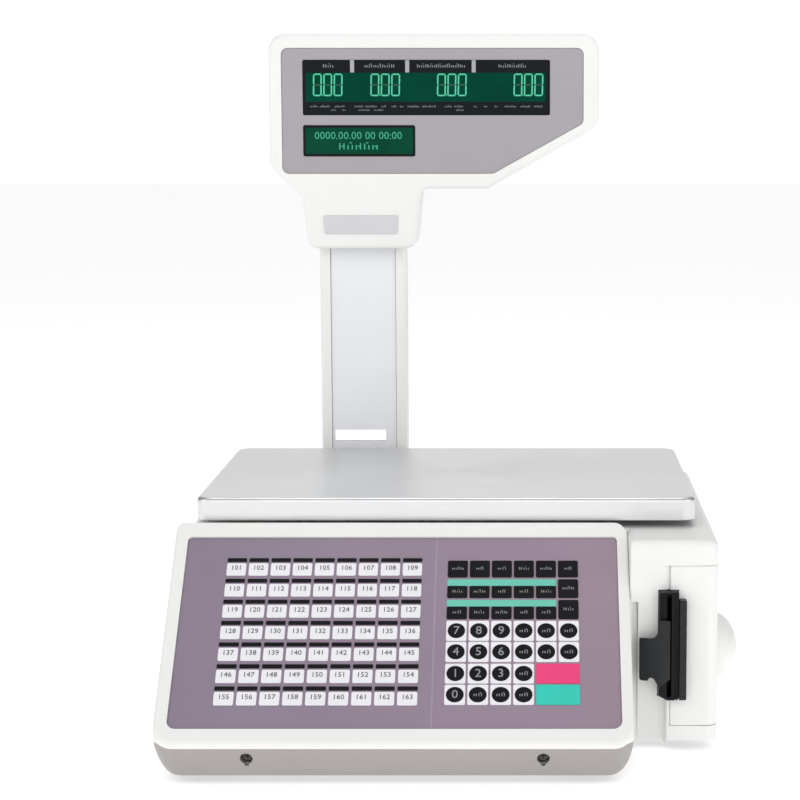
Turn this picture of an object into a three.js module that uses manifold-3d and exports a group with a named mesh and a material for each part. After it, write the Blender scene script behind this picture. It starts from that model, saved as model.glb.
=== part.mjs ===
// Label printing scale with a pole display: keypad wedge in front, stainless platter on a
// single-point load cell, label printer bay behind a wrap-round door on the right, and a
// two-window display head on a flat pole at the rear.
// Millimetres, +Z up, -Y towards the operator. Origin: centre of the footprint, on the table.
import * as THREE from 'three';
import { mergeVertices } from 'three/addons/utils/BufferGeometryUtils.js';
import Module from 'manifold-3d';

const wasm = await Module();
wasm.setup();

// ---------------------------------------------------------------- driving dimensions
const GAP = 0.3;                 // clearance between pieces that touch
const WALL = 2.5;                // moulded wall thickness
const FLOOR_Z = 8;               // underside of the housings, above the table

const PLATTER = { width: 342.8, depth: 230, x: -9.5, y: 35.7, top: 164.6, skirt: 15.6, sheet: 1.2, corner: 11,
  edge: 3.2 };
const HOUSING = { left: -186, right: 174, back: 166, top: 144, deckFront: -84, corner: 8 };
const PRINTER = { left: 114.7, front: -126.5 };
const DOOR = {
  left: 141.7, bottom: 18, top: 127, hingeX: 170, hingeY: 101, barrel: 4, barrelLow: 52.4, barrelHigh: 92.6 };
const KEYPAD = { left: -192.1, right: 114.1, front: -212.5, back: -86, bottom: 5.6, lip: 1.2, deck: 148.6 };
// The skirt tucks in below the ridge that runs round the wedge: inset from the sides and the front by height.
const SKIRT = [
  { z: 5.6, side: 9.5, front: 14, corner: 9 },
  { z: 7, side: 7, front: 13.2, corner: 11 },
  { z: 9.5, side: 5, front: 11.7, corner: 12 },
  { z: 13, side: 3.1, front: 9.7, corner: 13 },
  { z: 18, side: 1.7, front: 6.8, corner: 13 },
  { z: 24, side: 0.5, front: 3.3, corner: 13 },
  { z: 29.6, side: 0, front: 0, corner: 13 }];
const OVERLAY = {
  left: -183, right: 106.7, topY: -95.5, topZ: 139.9, bottomY: -202.9, bottomZ: 37.1, sheet: 1 };
const FRONT_SCREW = {
  x: -37.7, spread: 94.4, z: 18.9, recess: 4.1, seatY: -196, shank: 1.5, hole: 1.9, head: 3.2 };
const OUTLET = { left: 133.9, right: 147.2, front: -134, back: -112, bottom: 37.2, top: 110.6 };
const TAB = { left: 121.1, foot: 126.6, bottom: 50.3, top: 79.2, front: -131, back: -125 };
const SLOT = { left: 141, right: 145.6, bottom: 40.5, top: 104.5 };
const RECESS = { left: 116.2, step: 120.4, right: 139, top: 102, depth: 9, grooveDepth: 14 };
const PLATEN = { x: 135.2, y: -98, r: 8, bottom: 38, top: 106 };
const MOTOR_RADIUS = 15.2;
const GEAR = { module: 1, platen: 20, idler: 24, pinion: 10, bottom: 13.5, thick: 5 };
const HEAD_PIVOT = { x: 158, y: -50 };
const LEVER = { x: 135, y: -60, length: 30 };
const ROLL = { x: 114, y: 45, r: 46, core: 19.8, bottom: 42.6, width: 60 };
const REWIND = { x: 88, y: -48 };
const CELL = { x0: -75, x1: 55, width: 30, bottom: 100, height: 22 };
const POLE = { x: -83.6, width: 68, front: 172.5, depth: 30, bottom: 45, top: 331, stripWidth: 51 };
const POLE_SLOT = { x0: -107.2, x1: -66.6, bottom: 166.5, top: 175.4 };
const HEAD = { left: -153.6, right: 101.3, bottom: 367.5, top: 486.3, front: 152.5, split: 180, back: 212.5 };
const NECK = { topLeft: -128.5, topRight: -36.6, left: -124.6, right: -41, bottom: 321 };
const WINDOW_MAIN = { x0: -127.2, x1: 63.4, z0: 424.3, z1: 466.2 };
const WINDOW_CLOCK = { x0: -127.2, x1: -40.9, z0: 392.6, z1: 416.2 };
const FEET = [[-160, -158], [85, -158], [-160, 140], [145, 140]];
const VIAL = { x: -150, y: -45, r: 9, top: 148 };
const CABLE_WAY = { left: -150, right: 80, top: 110 };   // between the keypad and the main housing
const INLET = { left: 0, right: 50, low: 23, high: 53, flangeLeft: -4, flangeRight: 54, depth: 28 };
const NETWORK = { left: -30, right: -14, low: 24.5, high: 38, back: 168 };
const SERIAL = { x: 100, z: 31, flangeWidth: 31, flangeHeight: 12.4 };

// ---------------------------------------------------------------- finishes
const finish = (color, roughness, metalness = 0) =>
  () => new THREE.MeshStandardMaterial({ color, roughness, metalness });
const whitePlastic = finish(0xf1f1ee, 0.45);
const blackPlastic = finish(0x24272a, 0.5);
const mauveFilm = finish(0x978094, 0.5);
const panelFilm = finish(0xaca5b2, 0.5);
const windowGlass = finish(0x0b1f1b, 0.15);
const stainless = finish(0xc9c9cb, 0.3, 1);
const zincSteel = finish(0xb4b8bc, 0.4, 1);
const castAlloy = finish(0xa9adb0, 0.5, 1);
const blackRubber = finish(0x1b1b1c, 0.9);
const circuitBoard = finish(0x1f5a3a, 0.6);
const paper = finish(0xf4f2ea, 0.9);
const poleFilm = finish(0xe4e6ee, 0.5);
const gearNylon = finish(0xe9e4d2, 0.6);
const vialAcrylic = finish(0xb9d870, 0.1);

// ---------------------------------------------------------------- solids
function solid(geometry) {
  const bare = geometry.clone();
  for (const name of Object.keys(bare.attributes)) {
    if (name !== 'position') bare.deleteAttribute(name);
  }
  const merged = mergeVertices(bare, 1e-4);
  const mesh = new wasm.Mesh({
    numProp: 3,
    vertProperties: new Float32Array(merged.attributes.position.array),
    triVerts: new Uint32Array(merged.index.array),
  });
  return new wasm.Manifold(mesh);
}

function geometryOf(body) {
  const mesh = body.getMesh();
  const geometry = new THREE.BufferGeometry();
  geometry.setAttribute('position', new THREE.BufferAttribute(mesh.vertProperties, 3));
  geometry.setIndex(new THREE.BufferAttribute(mesh.triVerts, 1));
  geometry.computeVertexNormals();
  return geometry;
}

const join = (first, ...others) => others.reduce((sum, other) => sum.add(other), first);
const cut = (first, ...others) => others.reduce((rest, other) => rest.subtract(other), first);

function box(x0, x1, y0, y1, z0, z1) {
  const geometry = new THREE.BoxGeometry(x1 - x0, y1 - y0, z1 - z0);
  return solid(geometry.translate((x0 + x1) / 2, (y0 + y1) / 2, (z0 + z1) / 2));
}

// Upright cylinder at (x, y) from z0 to z1.
function post(x, y, z0, z1, r, sides = 24) {
  const geometry = new THREE.CylinderGeometry(r, r, z1 - z0, sides).rotateX(Math.PI / 2);
  return solid(geometry.translate(x, y, (z0 + z1) / 2));
}

// Cylinder lying along Y at (x, z) from y0 to y1.
function bar(x, z, y0, y1, r, sides = 20) {
  const geometry = new THREE.CylinderGeometry(r, r, y1 - y0, sides);
  return solid(geometry.translate(x, (y0 + y1) / 2, z));
}

// Points of a polygon whose corners are rounded: each corner is [x, y, radius], anticlockwise.
function roundedOutline(corners, steps = 4) {
  const points = [];
  const count = corners.length;
  corners.forEach(([x, y, radius = 0], i) => {
    const here = new THREE.Vector2(x, y);
    if (radius === 0) {
      points.push(here);
      return;
    }
    const [px, py] = corners[(i + count - 1) % count];
    const [nx, ny] = corners[(i + 1) % count];
    const back = new THREE.Vector2(px, py).sub(here).normalize();
    const ahead = new THREE.Vector2(nx, ny).sub(here).normalize();
    const half = Math.acos(THREE.MathUtils.clamp(back.dot(ahead), -1, 1)) / 2;
    const centre = here.clone().addScaledVector(back.clone().add(ahead).normalize(), radius / Math.sin(half));
    const start = here.clone().addScaledVector(back, radius / Math.tan(half)).sub(centre);
    const end = here.clone().addScaledVector(ahead, radius / Math.tan(half)).sub(centre);
    const turn = Math.atan2(start.cross(end), start.dot(end));
    for (let step = 0; step <= steps; step += 1) {
      points.push(start.clone().rotateAround(new THREE.Vector2(), (turn * step) / steps).add(centre));
    }
  });
  return points;
}

const rectangle = (x0, x1, y0, y1, r = 0) => [[x0, y0, r], [x1, y0, r], [x1, y1, r], [x0, y1, r]];

// Outline in plan, extruded from z0 to z1.
function slab(corners, z0, z1, steps = 4) {
  const shape = new THREE.Shape(roundedOutline(corners, steps));
  return solid(new THREE.ExtrudeGeometry(shape, { depth: z1 - z0, bevelEnabled: false }).translate(0, 0, z0));
}

// Outline in front view (x, z), extruded from y0 to y1.
function plate(corners, y0, y1, steps = 4) {
  const shape = new THREE.Shape(roundedOutline(corners, steps));
  const geometry = new THREE.ExtrudeGeometry(shape, { depth: y1 - y0, bevelEnabled: false });
  return solid(geometry.rotateX(Math.PI / 2).translate(0, y1, 0));
}

// Outline in side view (y, z), extruded from x0 to x1.
function rib(corners, x0, x1, steps = 4) {
  const shape = new THREE.Shape(roundedOutline(corners, steps));
  const geometry = new THREE.ExtrudeGeometry(shape, { depth: x1 - x0, bevelEnabled: false });
  const turn = new THREE.Matrix4().makeBasis(
    new THREE.Vector3(0, 1, 0), new THREE.Vector3(0, 0, 1), new THREE.Vector3(1, 0, 0));
  return solid(geometry.applyMatrix4(turn).translate(x0, 0, 0));
}

// Closed body through a stack of plan outlines, each { z, corners }, all with the same corner count.
function loft(levels, steps = 6) {
  const rings = levels.map(({ z, corners }) => roundedOutline(corners, steps).map((p) => [p.x, p.y, z]));
  const size = rings[0].length;
  const vertices = rings.flat(2);
  const index = [];
  for (let ring = 0; ring < rings.length - 1; ring += 1) {
    for (let i = 0; i < size; i += 1) {
      const a = ring * size + i;
      const b = ring * size + ((i + 1) % size);
      index.push(a, b, b + size, a, b + size, a + size);
    }
  }
  const last = (rings.length - 1) * size;
  for (let i = 1; i < size - 1; i += 1) {
    index.push(0, i + 1, i, last, last + i, last + i + 1);
  }
  const geometry = new THREE.BufferGeometry();
  geometry.setAttribute('position', new THREE.Float32BufferAttribute(vertices, 3));
  geometry.setIndex(index);
  return solid(geometry);
}

// Solid of revolution about the upright axis at (x, y); profile points are [radius, z].
function turned(x, y, profile, sides = 28) {
  const points = profile.map(([r, z]) => new THREE.Vector2(r, z));
  const geometry = new THREE.LatheGeometry(points, sides);
  return solid(geometry.rotateX(Math.PI / 2).translate(x, y, 0));
}

// ---------------------------------------------------------------- assembly
const scale = new THREE.Group();

function add(name, body, material) {
  const mesh = new THREE.Mesh(geometryOf(body), material());
  mesh.name = name;
  scale.add(mesh);
}

// ---------------------------------------------------------------- base tray and feet
const TRAY = {
  inset: 3, floor: 3, rim: 20, front: -186, frontRim: 27,
  keypadLeft: -178, keypadRight: 100.8, step: -79, printerLeft: 118, printerFront: -104 };

const screwPlaces = [-1, 1].map((side) => FRONT_SCREW.x + side * FRONT_SCREW.spread);

function baseTray() {
  const x0 = HOUSING.left + TRAY.inset;
  const x1 = HOUSING.right - TRAY.inset;
  const y1 = HOUSING.back - TRAY.inset;
  const outline = (d) => [
    [TRAY.keypadLeft + d, TRAY.front + d], [TRAY.keypadRight - d, TRAY.front + d],
    [TRAY.keypadRight - d, TRAY.step + d], [TRAY.printerLeft + d, TRAY.step + d],
    [TRAY.printerLeft + d, TRAY.printerFront + d], [x1 - d, TRAY.printerFront + d],
    [x1 - d, y1 - d, 7 - d], [x0 + d, y1 - d, 7 - d], [x0 + d, TRAY.step + d],
    [TRAY.keypadLeft + d, TRAY.step + d]];
  const pan = cut(
    slab(outline(0), FLOOR_Z, TRAY.rim),
    slab(outline(WALL), FLOOR_Z + TRAY.floor, TRAY.rim + 1));
  const lugs = screwPlaces.map((x) => box(x - 8, x + 8, TRAY.front, TRAY.front + WALL, FLOOR_Z, TRAY.frontRim));
  const screwHoles = screwPlaces.map((x) =>
    bar(x, FRONT_SCREW.z, TRAY.front - 1, TRAY.front + 4, FRONT_SCREW.hole, 16));
  const footHoles = FEET.map(([x, y]) => post(x, y, 0, 15, 4.4, 20));
  const gearRoom = box(120, 150, -106, -100, FLOOR_Z + TRAY.floor, TRAY.rim + 1);
  return cut(join(pan, ...lugs), gearRoom, ...screwHoles, ...footHoles);
}
add('base_tray', baseTray(), zincSteel);

FEET.forEach(([x, y], i) => {
  const profile = [[0, 0], [12, 0], [13.5, 1.5], [13.5, 5], [11, 7.6], [4, 7.6], [4, 18], [0, 18]];
  add(`levelling_foot_${i + 1}`, turned(x, y, profile, 24), blackRubber);
});

// ---------------------------------------------------------------- keypad wedge
const rise = OVERLAY.topZ - OVERLAY.bottomZ;
const run = OVERLAY.topY - OVERLAY.bottomY;
const slope = Math.atan2(rise, run);
const overlayLength = Math.hypot(rise, run);

// A body drawn flat (x across, y up the slope from the overlay's lower edge, z outwards), leaned back
// onto the keypad's slope.
function onSlope(body) {
  const matrix = new THREE.Matrix4().makeRotationX(slope)
    .setPosition(0, OVERLAY.bottomY, OVERLAY.bottomZ);
  return solid(geometryOf(body).applyMatrix4(matrix));
}

// Plan outline of the wedge, drawn in by side and front, with the wall taken off all round.
function keypadPlan({ side, front, corner }, wall = 0) {
  const x0 = KEYPAD.left + side + wall;
  const x1 = KEYPAD.right - side - wall;
  const y0 = KEYPAD.front + front + wall;
  const y1 = KEYPAD.back - wall;
  const frontRadius = Math.max(corner - wall, 1);
  return [
    [x0, y0, frontRadius], [x1, y0, frontRadius],
    [x1, y1, Math.max(9 - wall, 1)], [x0, y1, Math.max(5 - wall, 1)]];
}

function keypadHousing() {
  const above = (lift) => onSlope(box(-260, 260, -60, 260, lift, 220));
  const ridge = SKIRT.at(-1);
  const stackTop = 152;
  const outer = cut(
    loft([...SKIRT, { ...ridge, z: stackTop }].map((level) => ({ z: level.z, corners: keypadPlan(level) }))),
    above(KEYPAD.lip), box(-260, 260, -120, 0, KEYPAD.deck, stackTop + 8));
  const lowest = { ...SKIRT[0], z: KEYPAD.bottom - 1 };
  const inner = cut(
    loft([lowest, ...SKIRT.slice(2), { ...ridge, z: stackTop }].map(
      (level) => ({ z: level.z, corners: keypadPlan(level, WALL) }))),
    above(-4), box(-260, 260, -120, 0, KEYPAD.deck - 3, stackTop + 8));
  const pocket = onSlope(slab([
    [OVERLAY.left - GAP, -GAP, 5], [OVERLAY.right + GAP, -GAP, 5],
    [OVERLAY.right + GAP, overlayLength + GAP, 2.5], [OVERLAY.left - GAP, overlayLength + GAP, 2.5]],
  -OVERLAY.sheet - GAP, 6));
  const trayWay = box(TRAY.keypadLeft - 1, TRAY.keypadRight + 1, -110, -80, 0, TRAY.rim + 1);
  const cableWay = box(CABLE_WAY.left, CABLE_WAY.right, -110, -80, 0, CABLE_WAY.top);
  let shell = cut(outer, inner, pocket, trayWay, cableWay);
  for (const x of screwPlaces) {
    const { z, recess, seatY, hole } = FRONT_SCREW;
    const boss = bar(x, z, KEYPAD.front, seatY + 7, recess + 2, 24).intersect(outer);
    const keyhole = join(
      bar(x, z, KEYPAD.front - 3, seatY, recess, 24),
      box(x - 1.5, x + 1.5, KEYPAD.front - 3, seatY - 4, z - 5.7, z));
    shell = cut(join(shell, boss), keyhole, bar(x, z, seatY - 1, seatY + 16, hole, 16));
  }
  return shell;
}
add('keypad_housing', keypadHousing(), whitePlastic);

add('keypad_overlay', onSlope(slab([
  [OVERLAY.left, 0, 5], [OVERLAY.right, 0, 5],
  [OVERLAY.right, overlayLength, 2.2], [OVERLAY.left, overlayLength, 2.2]],
-OVERLAY.sheet, 0)), mauveFilm);

add('keypad_board', onSlope(join(
  box(OVERLAY.left + 12, OVERLAY.right - 12, 12, overlayLength - 16, -9, -7.4),
  box(-60, -20, overlayLength - 40, overlayLength - 28, -14, -9))), circuitBoard);

screwPlaces.forEach((x, i) => {
  const { z, seatY } = FRONT_SCREW;
  const head = bar(x, z, seatY - 2.6, seatY - GAP, FRONT_SCREW.head, 20);
  const drive = box(x - 0.5, x + 0.5, seatY - 3, seatY - 1.6, z - 2, z + 2);
  const shank = bar(x, z, seatY - 1, TRAY.front + 6, FRONT_SCREW.shank, 12);
  add(`front_screw_${['left', 'right'][i]}`, join(cut(head, drive), shank), zincSteel);
});

// ---------------------------------------------------------------- upper housing
const outletClear = box(
  OUTLET.left - GAP, OUTLET.right + GAP, OUTLET.front - 1, OUTLET.back + 6,
  OUTLET.bottom - GAP, OUTLET.top + GAP);

function housingPlan(d) {
  const r = HOUSING.corner - d;
  return [
    [HOUSING.left + d, HOUSING.deckFront + d], [PRINTER.left + d, HOUSING.deckFront + d],
    [PRINTER.left + d, PRINTER.front + d], [HOUSING.right - d, PRINTER.front + d, r],
    [HOUSING.right - d, HOUSING.back - d, r], [HOUSING.left + d, HOUSING.back - d, r]];
}

function upperHousing() {
  const shell = cut(slab(housingPlan(0), FLOOR_Z, HOUSING.top), slab(housingPlan(WALL), 0, HOUSING.top - WALL));
  const { front } = PRINTER;
  const grooveBack = front + RECESS.grooveDepth;
  // The recess leans back: flush with the front at its top, deepest at the floor.
  const lean = (x0, x1, depth, extra) => rib([
    [front - 1, 0], [front + depth, 0], [front + extra, RECESS.top], [front - 1, RECESS.top]], x0, x1);
  const recessBlock = cut(
    box(PRINTER.left, DOOR.left - GAP, front, grooveBack + WALL, FLOOR_Z, RECESS.top + WALL),
    rib([
      [front + RECESS.depth + WALL, 0], [grooveBack + 4, 0],
      [grooveBack + 4, RECESS.top], [front + WALL, RECESS.top]], RECESS.step + WALL, DOOR.left));
  const doorOpening = join(
    box(DOOR.left - GAP, HOUSING.right + 5, front - 5, front + 12, DOOR.bottom - GAP, DOOR.top + GAP),
    box(HOUSING.right - 12, HOUSING.right + 5, front - 5, DOOR.hingeY + DOOR.barrel + 0.6,
      DOOR.bottom - GAP, DOOR.top + GAP));
  const knuckleLow = DOOR.barrelLow + 0.6;
  const knuckleHigh = DOOR.barrelHigh - 0.6;
  const { hingeX, hingeY, barrel } = DOOR;
  const hinge = join(
    post(hingeX, hingeY, knuckleLow, knuckleHigh, barrel, 20),
    box(hingeX - barrel, hingeX - 1.5, hingeY, hingeY + 8, knuckleLow, knuckleHigh),
    box(hingeX - barrel, HOUSING.right - 1, hingeY + 5.5, hingeY + 8, knuckleLow, knuckleHigh));
  const rear = HOUSING.back - 6;
  const through = HOUSING.back + 4;
  return cut(
    join(shell, recessBlock),
    lean(RECESS.left, RECESS.step, RECESS.grooveDepth, 4),
    lean(RECESS.step - 1, RECESS.right, RECESS.depth, 0),
    outletClear,
    doorOpening,
    box(CABLE_WAY.left, CABLE_WAY.right, HOUSING.deckFront - 1, HOUSING.deckFront + 6, 0, CABLE_WAY.top),
    box(TRAY.keypadLeft - 1, TRAY.keypadRight + 1, HOUSING.deckFront - 1, HOUSING.deckFront + 6,
      0, TRAY.rim + 1),
    post(CELL.x1 - 15, PLATTER.y, HOUSING.top - 6, HOUSING.top + 2, 22, 32), // spider post
    post(VIAL.x, VIAL.y, HOUSING.top - 6, HOUSING.top + 2, VIAL.r - 2, 24),
    box(INLET.left - 1, INLET.right + 1, rear, through, INLET.low - 1, INLET.high + 1),
    box(NETWORK.left - 0.5, NETWORK.right + 0.5, rear, through, NETWORK.low - 0.5, NETWORK.high + 0.5),
    box(SERIAL.x - 9.5, SERIAL.x + 9.5, rear, through, SERIAL.z - 6, SERIAL.z + 6))
    .add(cut(hinge, post(hingeX, hingeY, 50, 95, 1.8, 16)));
}
add('upper_housing', upperHousing(), whitePlastic);

// ---------------------------------------------------------------- weighing mechanism
add('load_cell_stand', join(
  box(-80, -30, 10, 62, FLOOR_Z + TRAY.floor + GAP, 16),
  box(-73, -37, PLATTER.y - 14, PLATTER.y + 14, 15, CELL.bottom - GAP)), castAlloy);

function loadCell() {
  const y0 = PLATTER.y - CELL.width / 2;
  const z = CELL.bottom + CELL.height / 2;
  const beam = box(CELL.x0, CELL.x1, y0, y0 + CELL.width, CELL.bottom, CELL.bottom + CELL.height);
  const bores = [-25, 5].map((x) => bar(x, z, y0 - 1, y0 + CELL.width + 1, 8, 24));
  return cut(beam, ...bores, box(-25, 5, y0 - 1, y0 + CELL.width + 1, z - 3, z + 3));
}
add('load_cell', loadCell(), castAlloy);

const cellTop = CELL.bottom + CELL.height;
const spider = { bottom: 150, top: 156, padTop: 162.8, reachX: 125, reachY: 78 };
add('spider_post', join(
  box(CELL.x1 - 28, CELL.x1 - 2, PLATTER.y - 13, PLATTER.y + 13, cellTop + GAP, cellTop + 8),
  post(CELL.x1 - 15, PLATTER.y, cellTop + 7, spider.bottom - GAP, 12, 28)), castAlloy);

function platterSpider() {
  const angle = Math.atan2(spider.reachY, spider.reachX);
  const length = Math.hypot(spider.reachX, spider.reachY);
  const arm = (turn) => {
    const geometry = new THREE.BoxGeometry(2 * length + 16, 22, spider.top - spider.bottom);
    return solid(geometry.rotateZ(turn).translate(PLATTER.x, PLATTER.y, (spider.top + spider.bottom) / 2));
  };
  const hub = box(PLATTER.x - 45, PLATTER.x + 75, PLATTER.y - 22, PLATTER.y + 22, spider.bottom, spider.top);
  return join(arm(angle), arm(-angle), hub);
}
add('platter_spider', platterSpider(), castAlloy);

[[-1, -1], [1, -1], [-1, 1], [1, 1]].forEach(([sx, sy], i) => {
  const low = spider.top + GAP;
  const profile = [[0, low], [9, low], [9, 160.5], [7, spider.padTop], [0, spider.padTop]];
  const x = PLATTER.x + sx * spider.reachX;
  const y = PLATTER.y + sy * spider.reachY;
  add(`platter_pad_${i + 1}`, turned(x, y, profile, 20), blackRubber);
});

function platter() {
  const { x, y, width, depth, top, skirt, sheet, corner, edge } = PLATTER;
  const outline = (d) => rectangle(
    x - width / 2 + d, x + width / 2 - d, y - depth / 2 + d, y + depth / 2 - d, corner - d);
  const outer = loft([
    { z: top - skirt, corners: outline(0) }, { z: top - edge, corners: outline(0) },
    { z: top - edge * 0.3, corners: outline(edge * 0.3) }, { z: top, corners: outline(edge) }]);
  const inner = loft([
    { z: top - skirt - 1, corners: outline(sheet) }, { z: top - edge - 0.3, corners: outline(sheet) },
    { z: top - sheet - 0.3, corners: outline(sheet + edge) }]);
  return cut(outer, inner);
}
add('platter', platter(), stainless);

add('level_vial', turned(VIAL.x, VIAL.y, [
  [0, HOUSING.top - 4], [VIAL.r - 2.4, HOUSING.top - 4], [VIAL.r - 2.4, HOUSING.top + GAP],
  [VIAL.r, HOUSING.top + GAP], [VIAL.r, VIAL.top], [0, VIAL.top]], 24), vialAcrylic);

// ---------------------------------------------------------------- electronics and rear sockets
add('main_board', join(
  box(-172, -92, -72, 56, 22, 23.6),
  box(-150, -126, -40, -16, 23, 26.5), box(-120, -104, -60, -40, 23, 27), box(-168, -156, 10, 50, 23, 33),
  box(-168, -100, -72, -66, 14, 23), box(-168, -100, 48, 54, 14, 23)), circuitBoard);

add('power_supply', cut(
  box(-172, -84, 74, 152, 20, 48),
  ...[0, 1, 2, 3, 4].map((i) => box(-160 + i * 14, -153 + i * 14, 84, 142, 44, 50))), zincSteel);

function powerInlet() {
  const { left, right, low, high, flangeLeft, flangeRight, depth } = INLET;
  const back = HOUSING.back + 3;
  const flange = plate(rectangle(flangeLeft, flangeRight, low - 3.5, high + 3.5, 3), HOUSING.back + GAP, back);
  const body = box(left, right, HOUSING.back - depth, HOUSING.back + 0.5, low, high);
  const socket = plate([[4, 29], [28, 29], [28, 42], [24, 46], [8, 46], [4, 42]], back - 19, back + 1);
  const rockerWell = box(33, 47, back - 21, back + 1, low + 3, high - 3);
  const pins = [[16, 33], [10, 39.5], [22, 39.5]].map(
    ([x, z]) => box(x - 1, x + 1, back - 21, back - 10, z - 2.2, z + 2.2));
  return join(cut(join(flange, body), socket, rockerWell), ...pins);
}
add('power_inlet', powerInlet(), blackPlastic);

add('power_rocker',
  rib([[159, 32], [159, 44], [169.5, 47.5], [166.8, 38], [171.8, 28.5]], 34, 46), blackPlastic);

add('network_port', cut(
  box(NETWORK.left, NETWORK.right, NETWORK.back - 21, NETWORK.back, NETWORK.low, NETWORK.high),
  box(NETWORK.left + 2.2, NETWORK.right - 2.2, NETWORK.back - 13, NETWORK.back + 1,
    NETWORK.low + 2.5, NETWORK.high - 3.5)), zincSteel);

function serialPort() {
  const { x, z, flangeWidth: width, flangeHeight: height } = SERIAL;
  const flange = plate(
    rectangle(x - width / 2, x + width / 2, z - height / 2, z + height / 2, 1.5), HOUSING.back + GAP, 167.6);
  const shield = plate([[x - 9, z + 4.4], [x - 7, z - 4.4], [x + 7, z - 4.4], [x + 9, z + 4.4]], 150, 172.6);
  const socket = plate([[x - 7.6, z + 3.4], [x - 6, z - 3.4], [x + 6, z - 3.4], [x + 7.6, z + 3.4]], 163, 173);
  return cut(join(flange, shield), socket);
}
add('serial_port', serialPort(), zincSteel);

// ---------------------------------------------------------------- label printer
add('bay_wall', cut(
  box(58, 60, -78, 160, FLOOR_Z + TRAY.floor + GAP, HOUSING.top - WALL - GAP),
  box(57, 61, -60, -30, 100, 120)), zincSteel);

const FRAME = { x0: 117.6, x1: 168, y0: -106, y1: -40, low: 22, lowTop: 24.5, high: 111.5, highTop: 114 };
const gearRadius = (teeth) => (GEAR.module * teeth) / 2;
const idlerY = PLATEN.y + gearRadius(GEAR.platen) + gearRadius(GEAR.idler);
const motorY = idlerY + gearRadius(GEAR.idler) + gearRadius(GEAR.pinion);

function printerFrame() {
  const plates = join(
    box(FRAME.x0, FRAME.x1, FRAME.y0, FRAME.y1, FRAME.low, FRAME.lowTop),
    box(FRAME.x0, FRAME.x1, FRAME.y0, FRAME.y1, FRAME.high, FRAME.highTop),
    box(FRAME.x0, FRAME.x0 + 2, FRAME.y0, FRAME.y1, FRAME.low, FRAME.highTop),
    box(FRAME.x0, FRAME.x0 + 2, -74, FRAME.y1, FLOOR_Z + TRAY.floor + GAP, FRAME.lowTop));
  const holes = [
    post(PLATEN.x, PLATEN.y, 10, 130, 3.4, 20),
    post(PLATEN.x, motorY, 10, 30, 3, 20)];
  const pins = [
    post(HEAD_PIVOT.x, HEAD_PIVOT.y, FRAME.low, FRAME.highTop, 2.5, 16),
    post(PLATEN.x, idlerY, 12.5, FRAME.lowTop, 2, 16),
    post(LEVER.x, LEVER.y, FRAME.high, 120, 2.5, 16)];
  return join(cut(plates, ...holes), ...pins);
}
add('printer_frame', printerFrame(), zincSteel);

// Spur gear outline: straight-sided teeth, the first one centred on the angle phase.
function gear(x, y, teeth, phase, bore) {
  const pitch = gearRadius(teeth);
  const levels = [[pitch - 1.15, 0.31], [pitch + 0.8, 0.11]];
  const points = [];
  for (let i = 0; i < teeth; i += 1) {
    const at = (radius, turn) => {
      const angle = phase + ((i + turn) * 2 * Math.PI) / teeth;
      return new THREE.Vector2(x + radius * Math.cos(angle), y + radius * Math.sin(angle));
    };
    points.push(at(levels[0][0], -levels[0][1]), at(levels[1][0], -levels[1][1]));
    points.push(at(levels[1][0], levels[1][1]), at(levels[0][0], levels[0][1]));
  }
  const blank = new THREE.ExtrudeGeometry(new THREE.Shape(points), { depth: GEAR.thick, bevelEnabled: false });
  return cut(solid(blank.translate(0, 0, GEAR.bottom)), post(x, y, 10, 25, bore, 20));
}

const up = Math.PI / 2;
add('platen_roller', cut(
  post(PLATEN.x, PLATEN.y, PLATEN.bottom, PLATEN.top, PLATEN.r, 32),
  post(PLATEN.x, PLATEN.y, PLATEN.bottom - 1, PLATEN.top + 1, 4.3, 20)), blackRubber);
add('platen_shaft', join(
  post(PLATEN.x, PLATEN.y, 12.5, 113.5, 3, 20), post(PLATEN.x, PLATEN.y, PLATEN.bottom, PLATEN.top, 4, 20),
  gear(PLATEN.x, PLATEN.y, GEAR.platen, up, 2.5)), zincSteel);
add('idler_gear', gear(PLATEN.x, idlerY, GEAR.idler, -up + Math.PI / GEAR.idler, 2.4), gearNylon);
add('motor_pinion', join(
  post(PLATEN.x, motorY, 12.5, FRAME.lowTop - 0.5, 2, 16),
  gear(PLATEN.x, motorY, GEAR.pinion, -up, 1.5)), zincSteel);
add('stepper_motor', join(
  post(PLATEN.x, motorY, FRAME.lowTop + GAP, 46, MOTOR_RADIUS, 28),
  box(PLATEN.x - 6, PLATEN.x + 6, motorY + MOTOR_RADIUS - 2, motorY + MOTOR_RADIUS + 4, 28, 42)), zincSteel);

add('print_head_arm', cut(
  join(post(HEAD_PIVOT.x, HEAD_PIVOT.y, 52, 100, 5.5, 20),
    box(152.4, 155.4, -104, HEAD_PIVOT.y, 52, 100)),
  post(HEAD_PIVOT.x, HEAD_PIVOT.y, 50, 102, 2.9, 20)), zincSteel);
add('thermal_head', join(
  box(143.6, 145, -104, -92, 41, 104), box(144.8, 152, -104, -90, 44, 101)), castAlloy);

add('head_lever', cut(
  join(post(LEVER.x, LEVER.y, 114.3, 118.3, 6, 20),
    box(LEVER.x - 3.5, LEVER.x + 3.5, LEVER.y - LEVER.length, LEVER.y, 114.3, 117.3),
    post(LEVER.x, LEVER.y - LEVER.length, 114.3, 129, 5, 20)),
  post(LEVER.x, LEVER.y, 110, 125, 2.9, 20)), finish(0x2f7fb8, 0.45));

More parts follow.
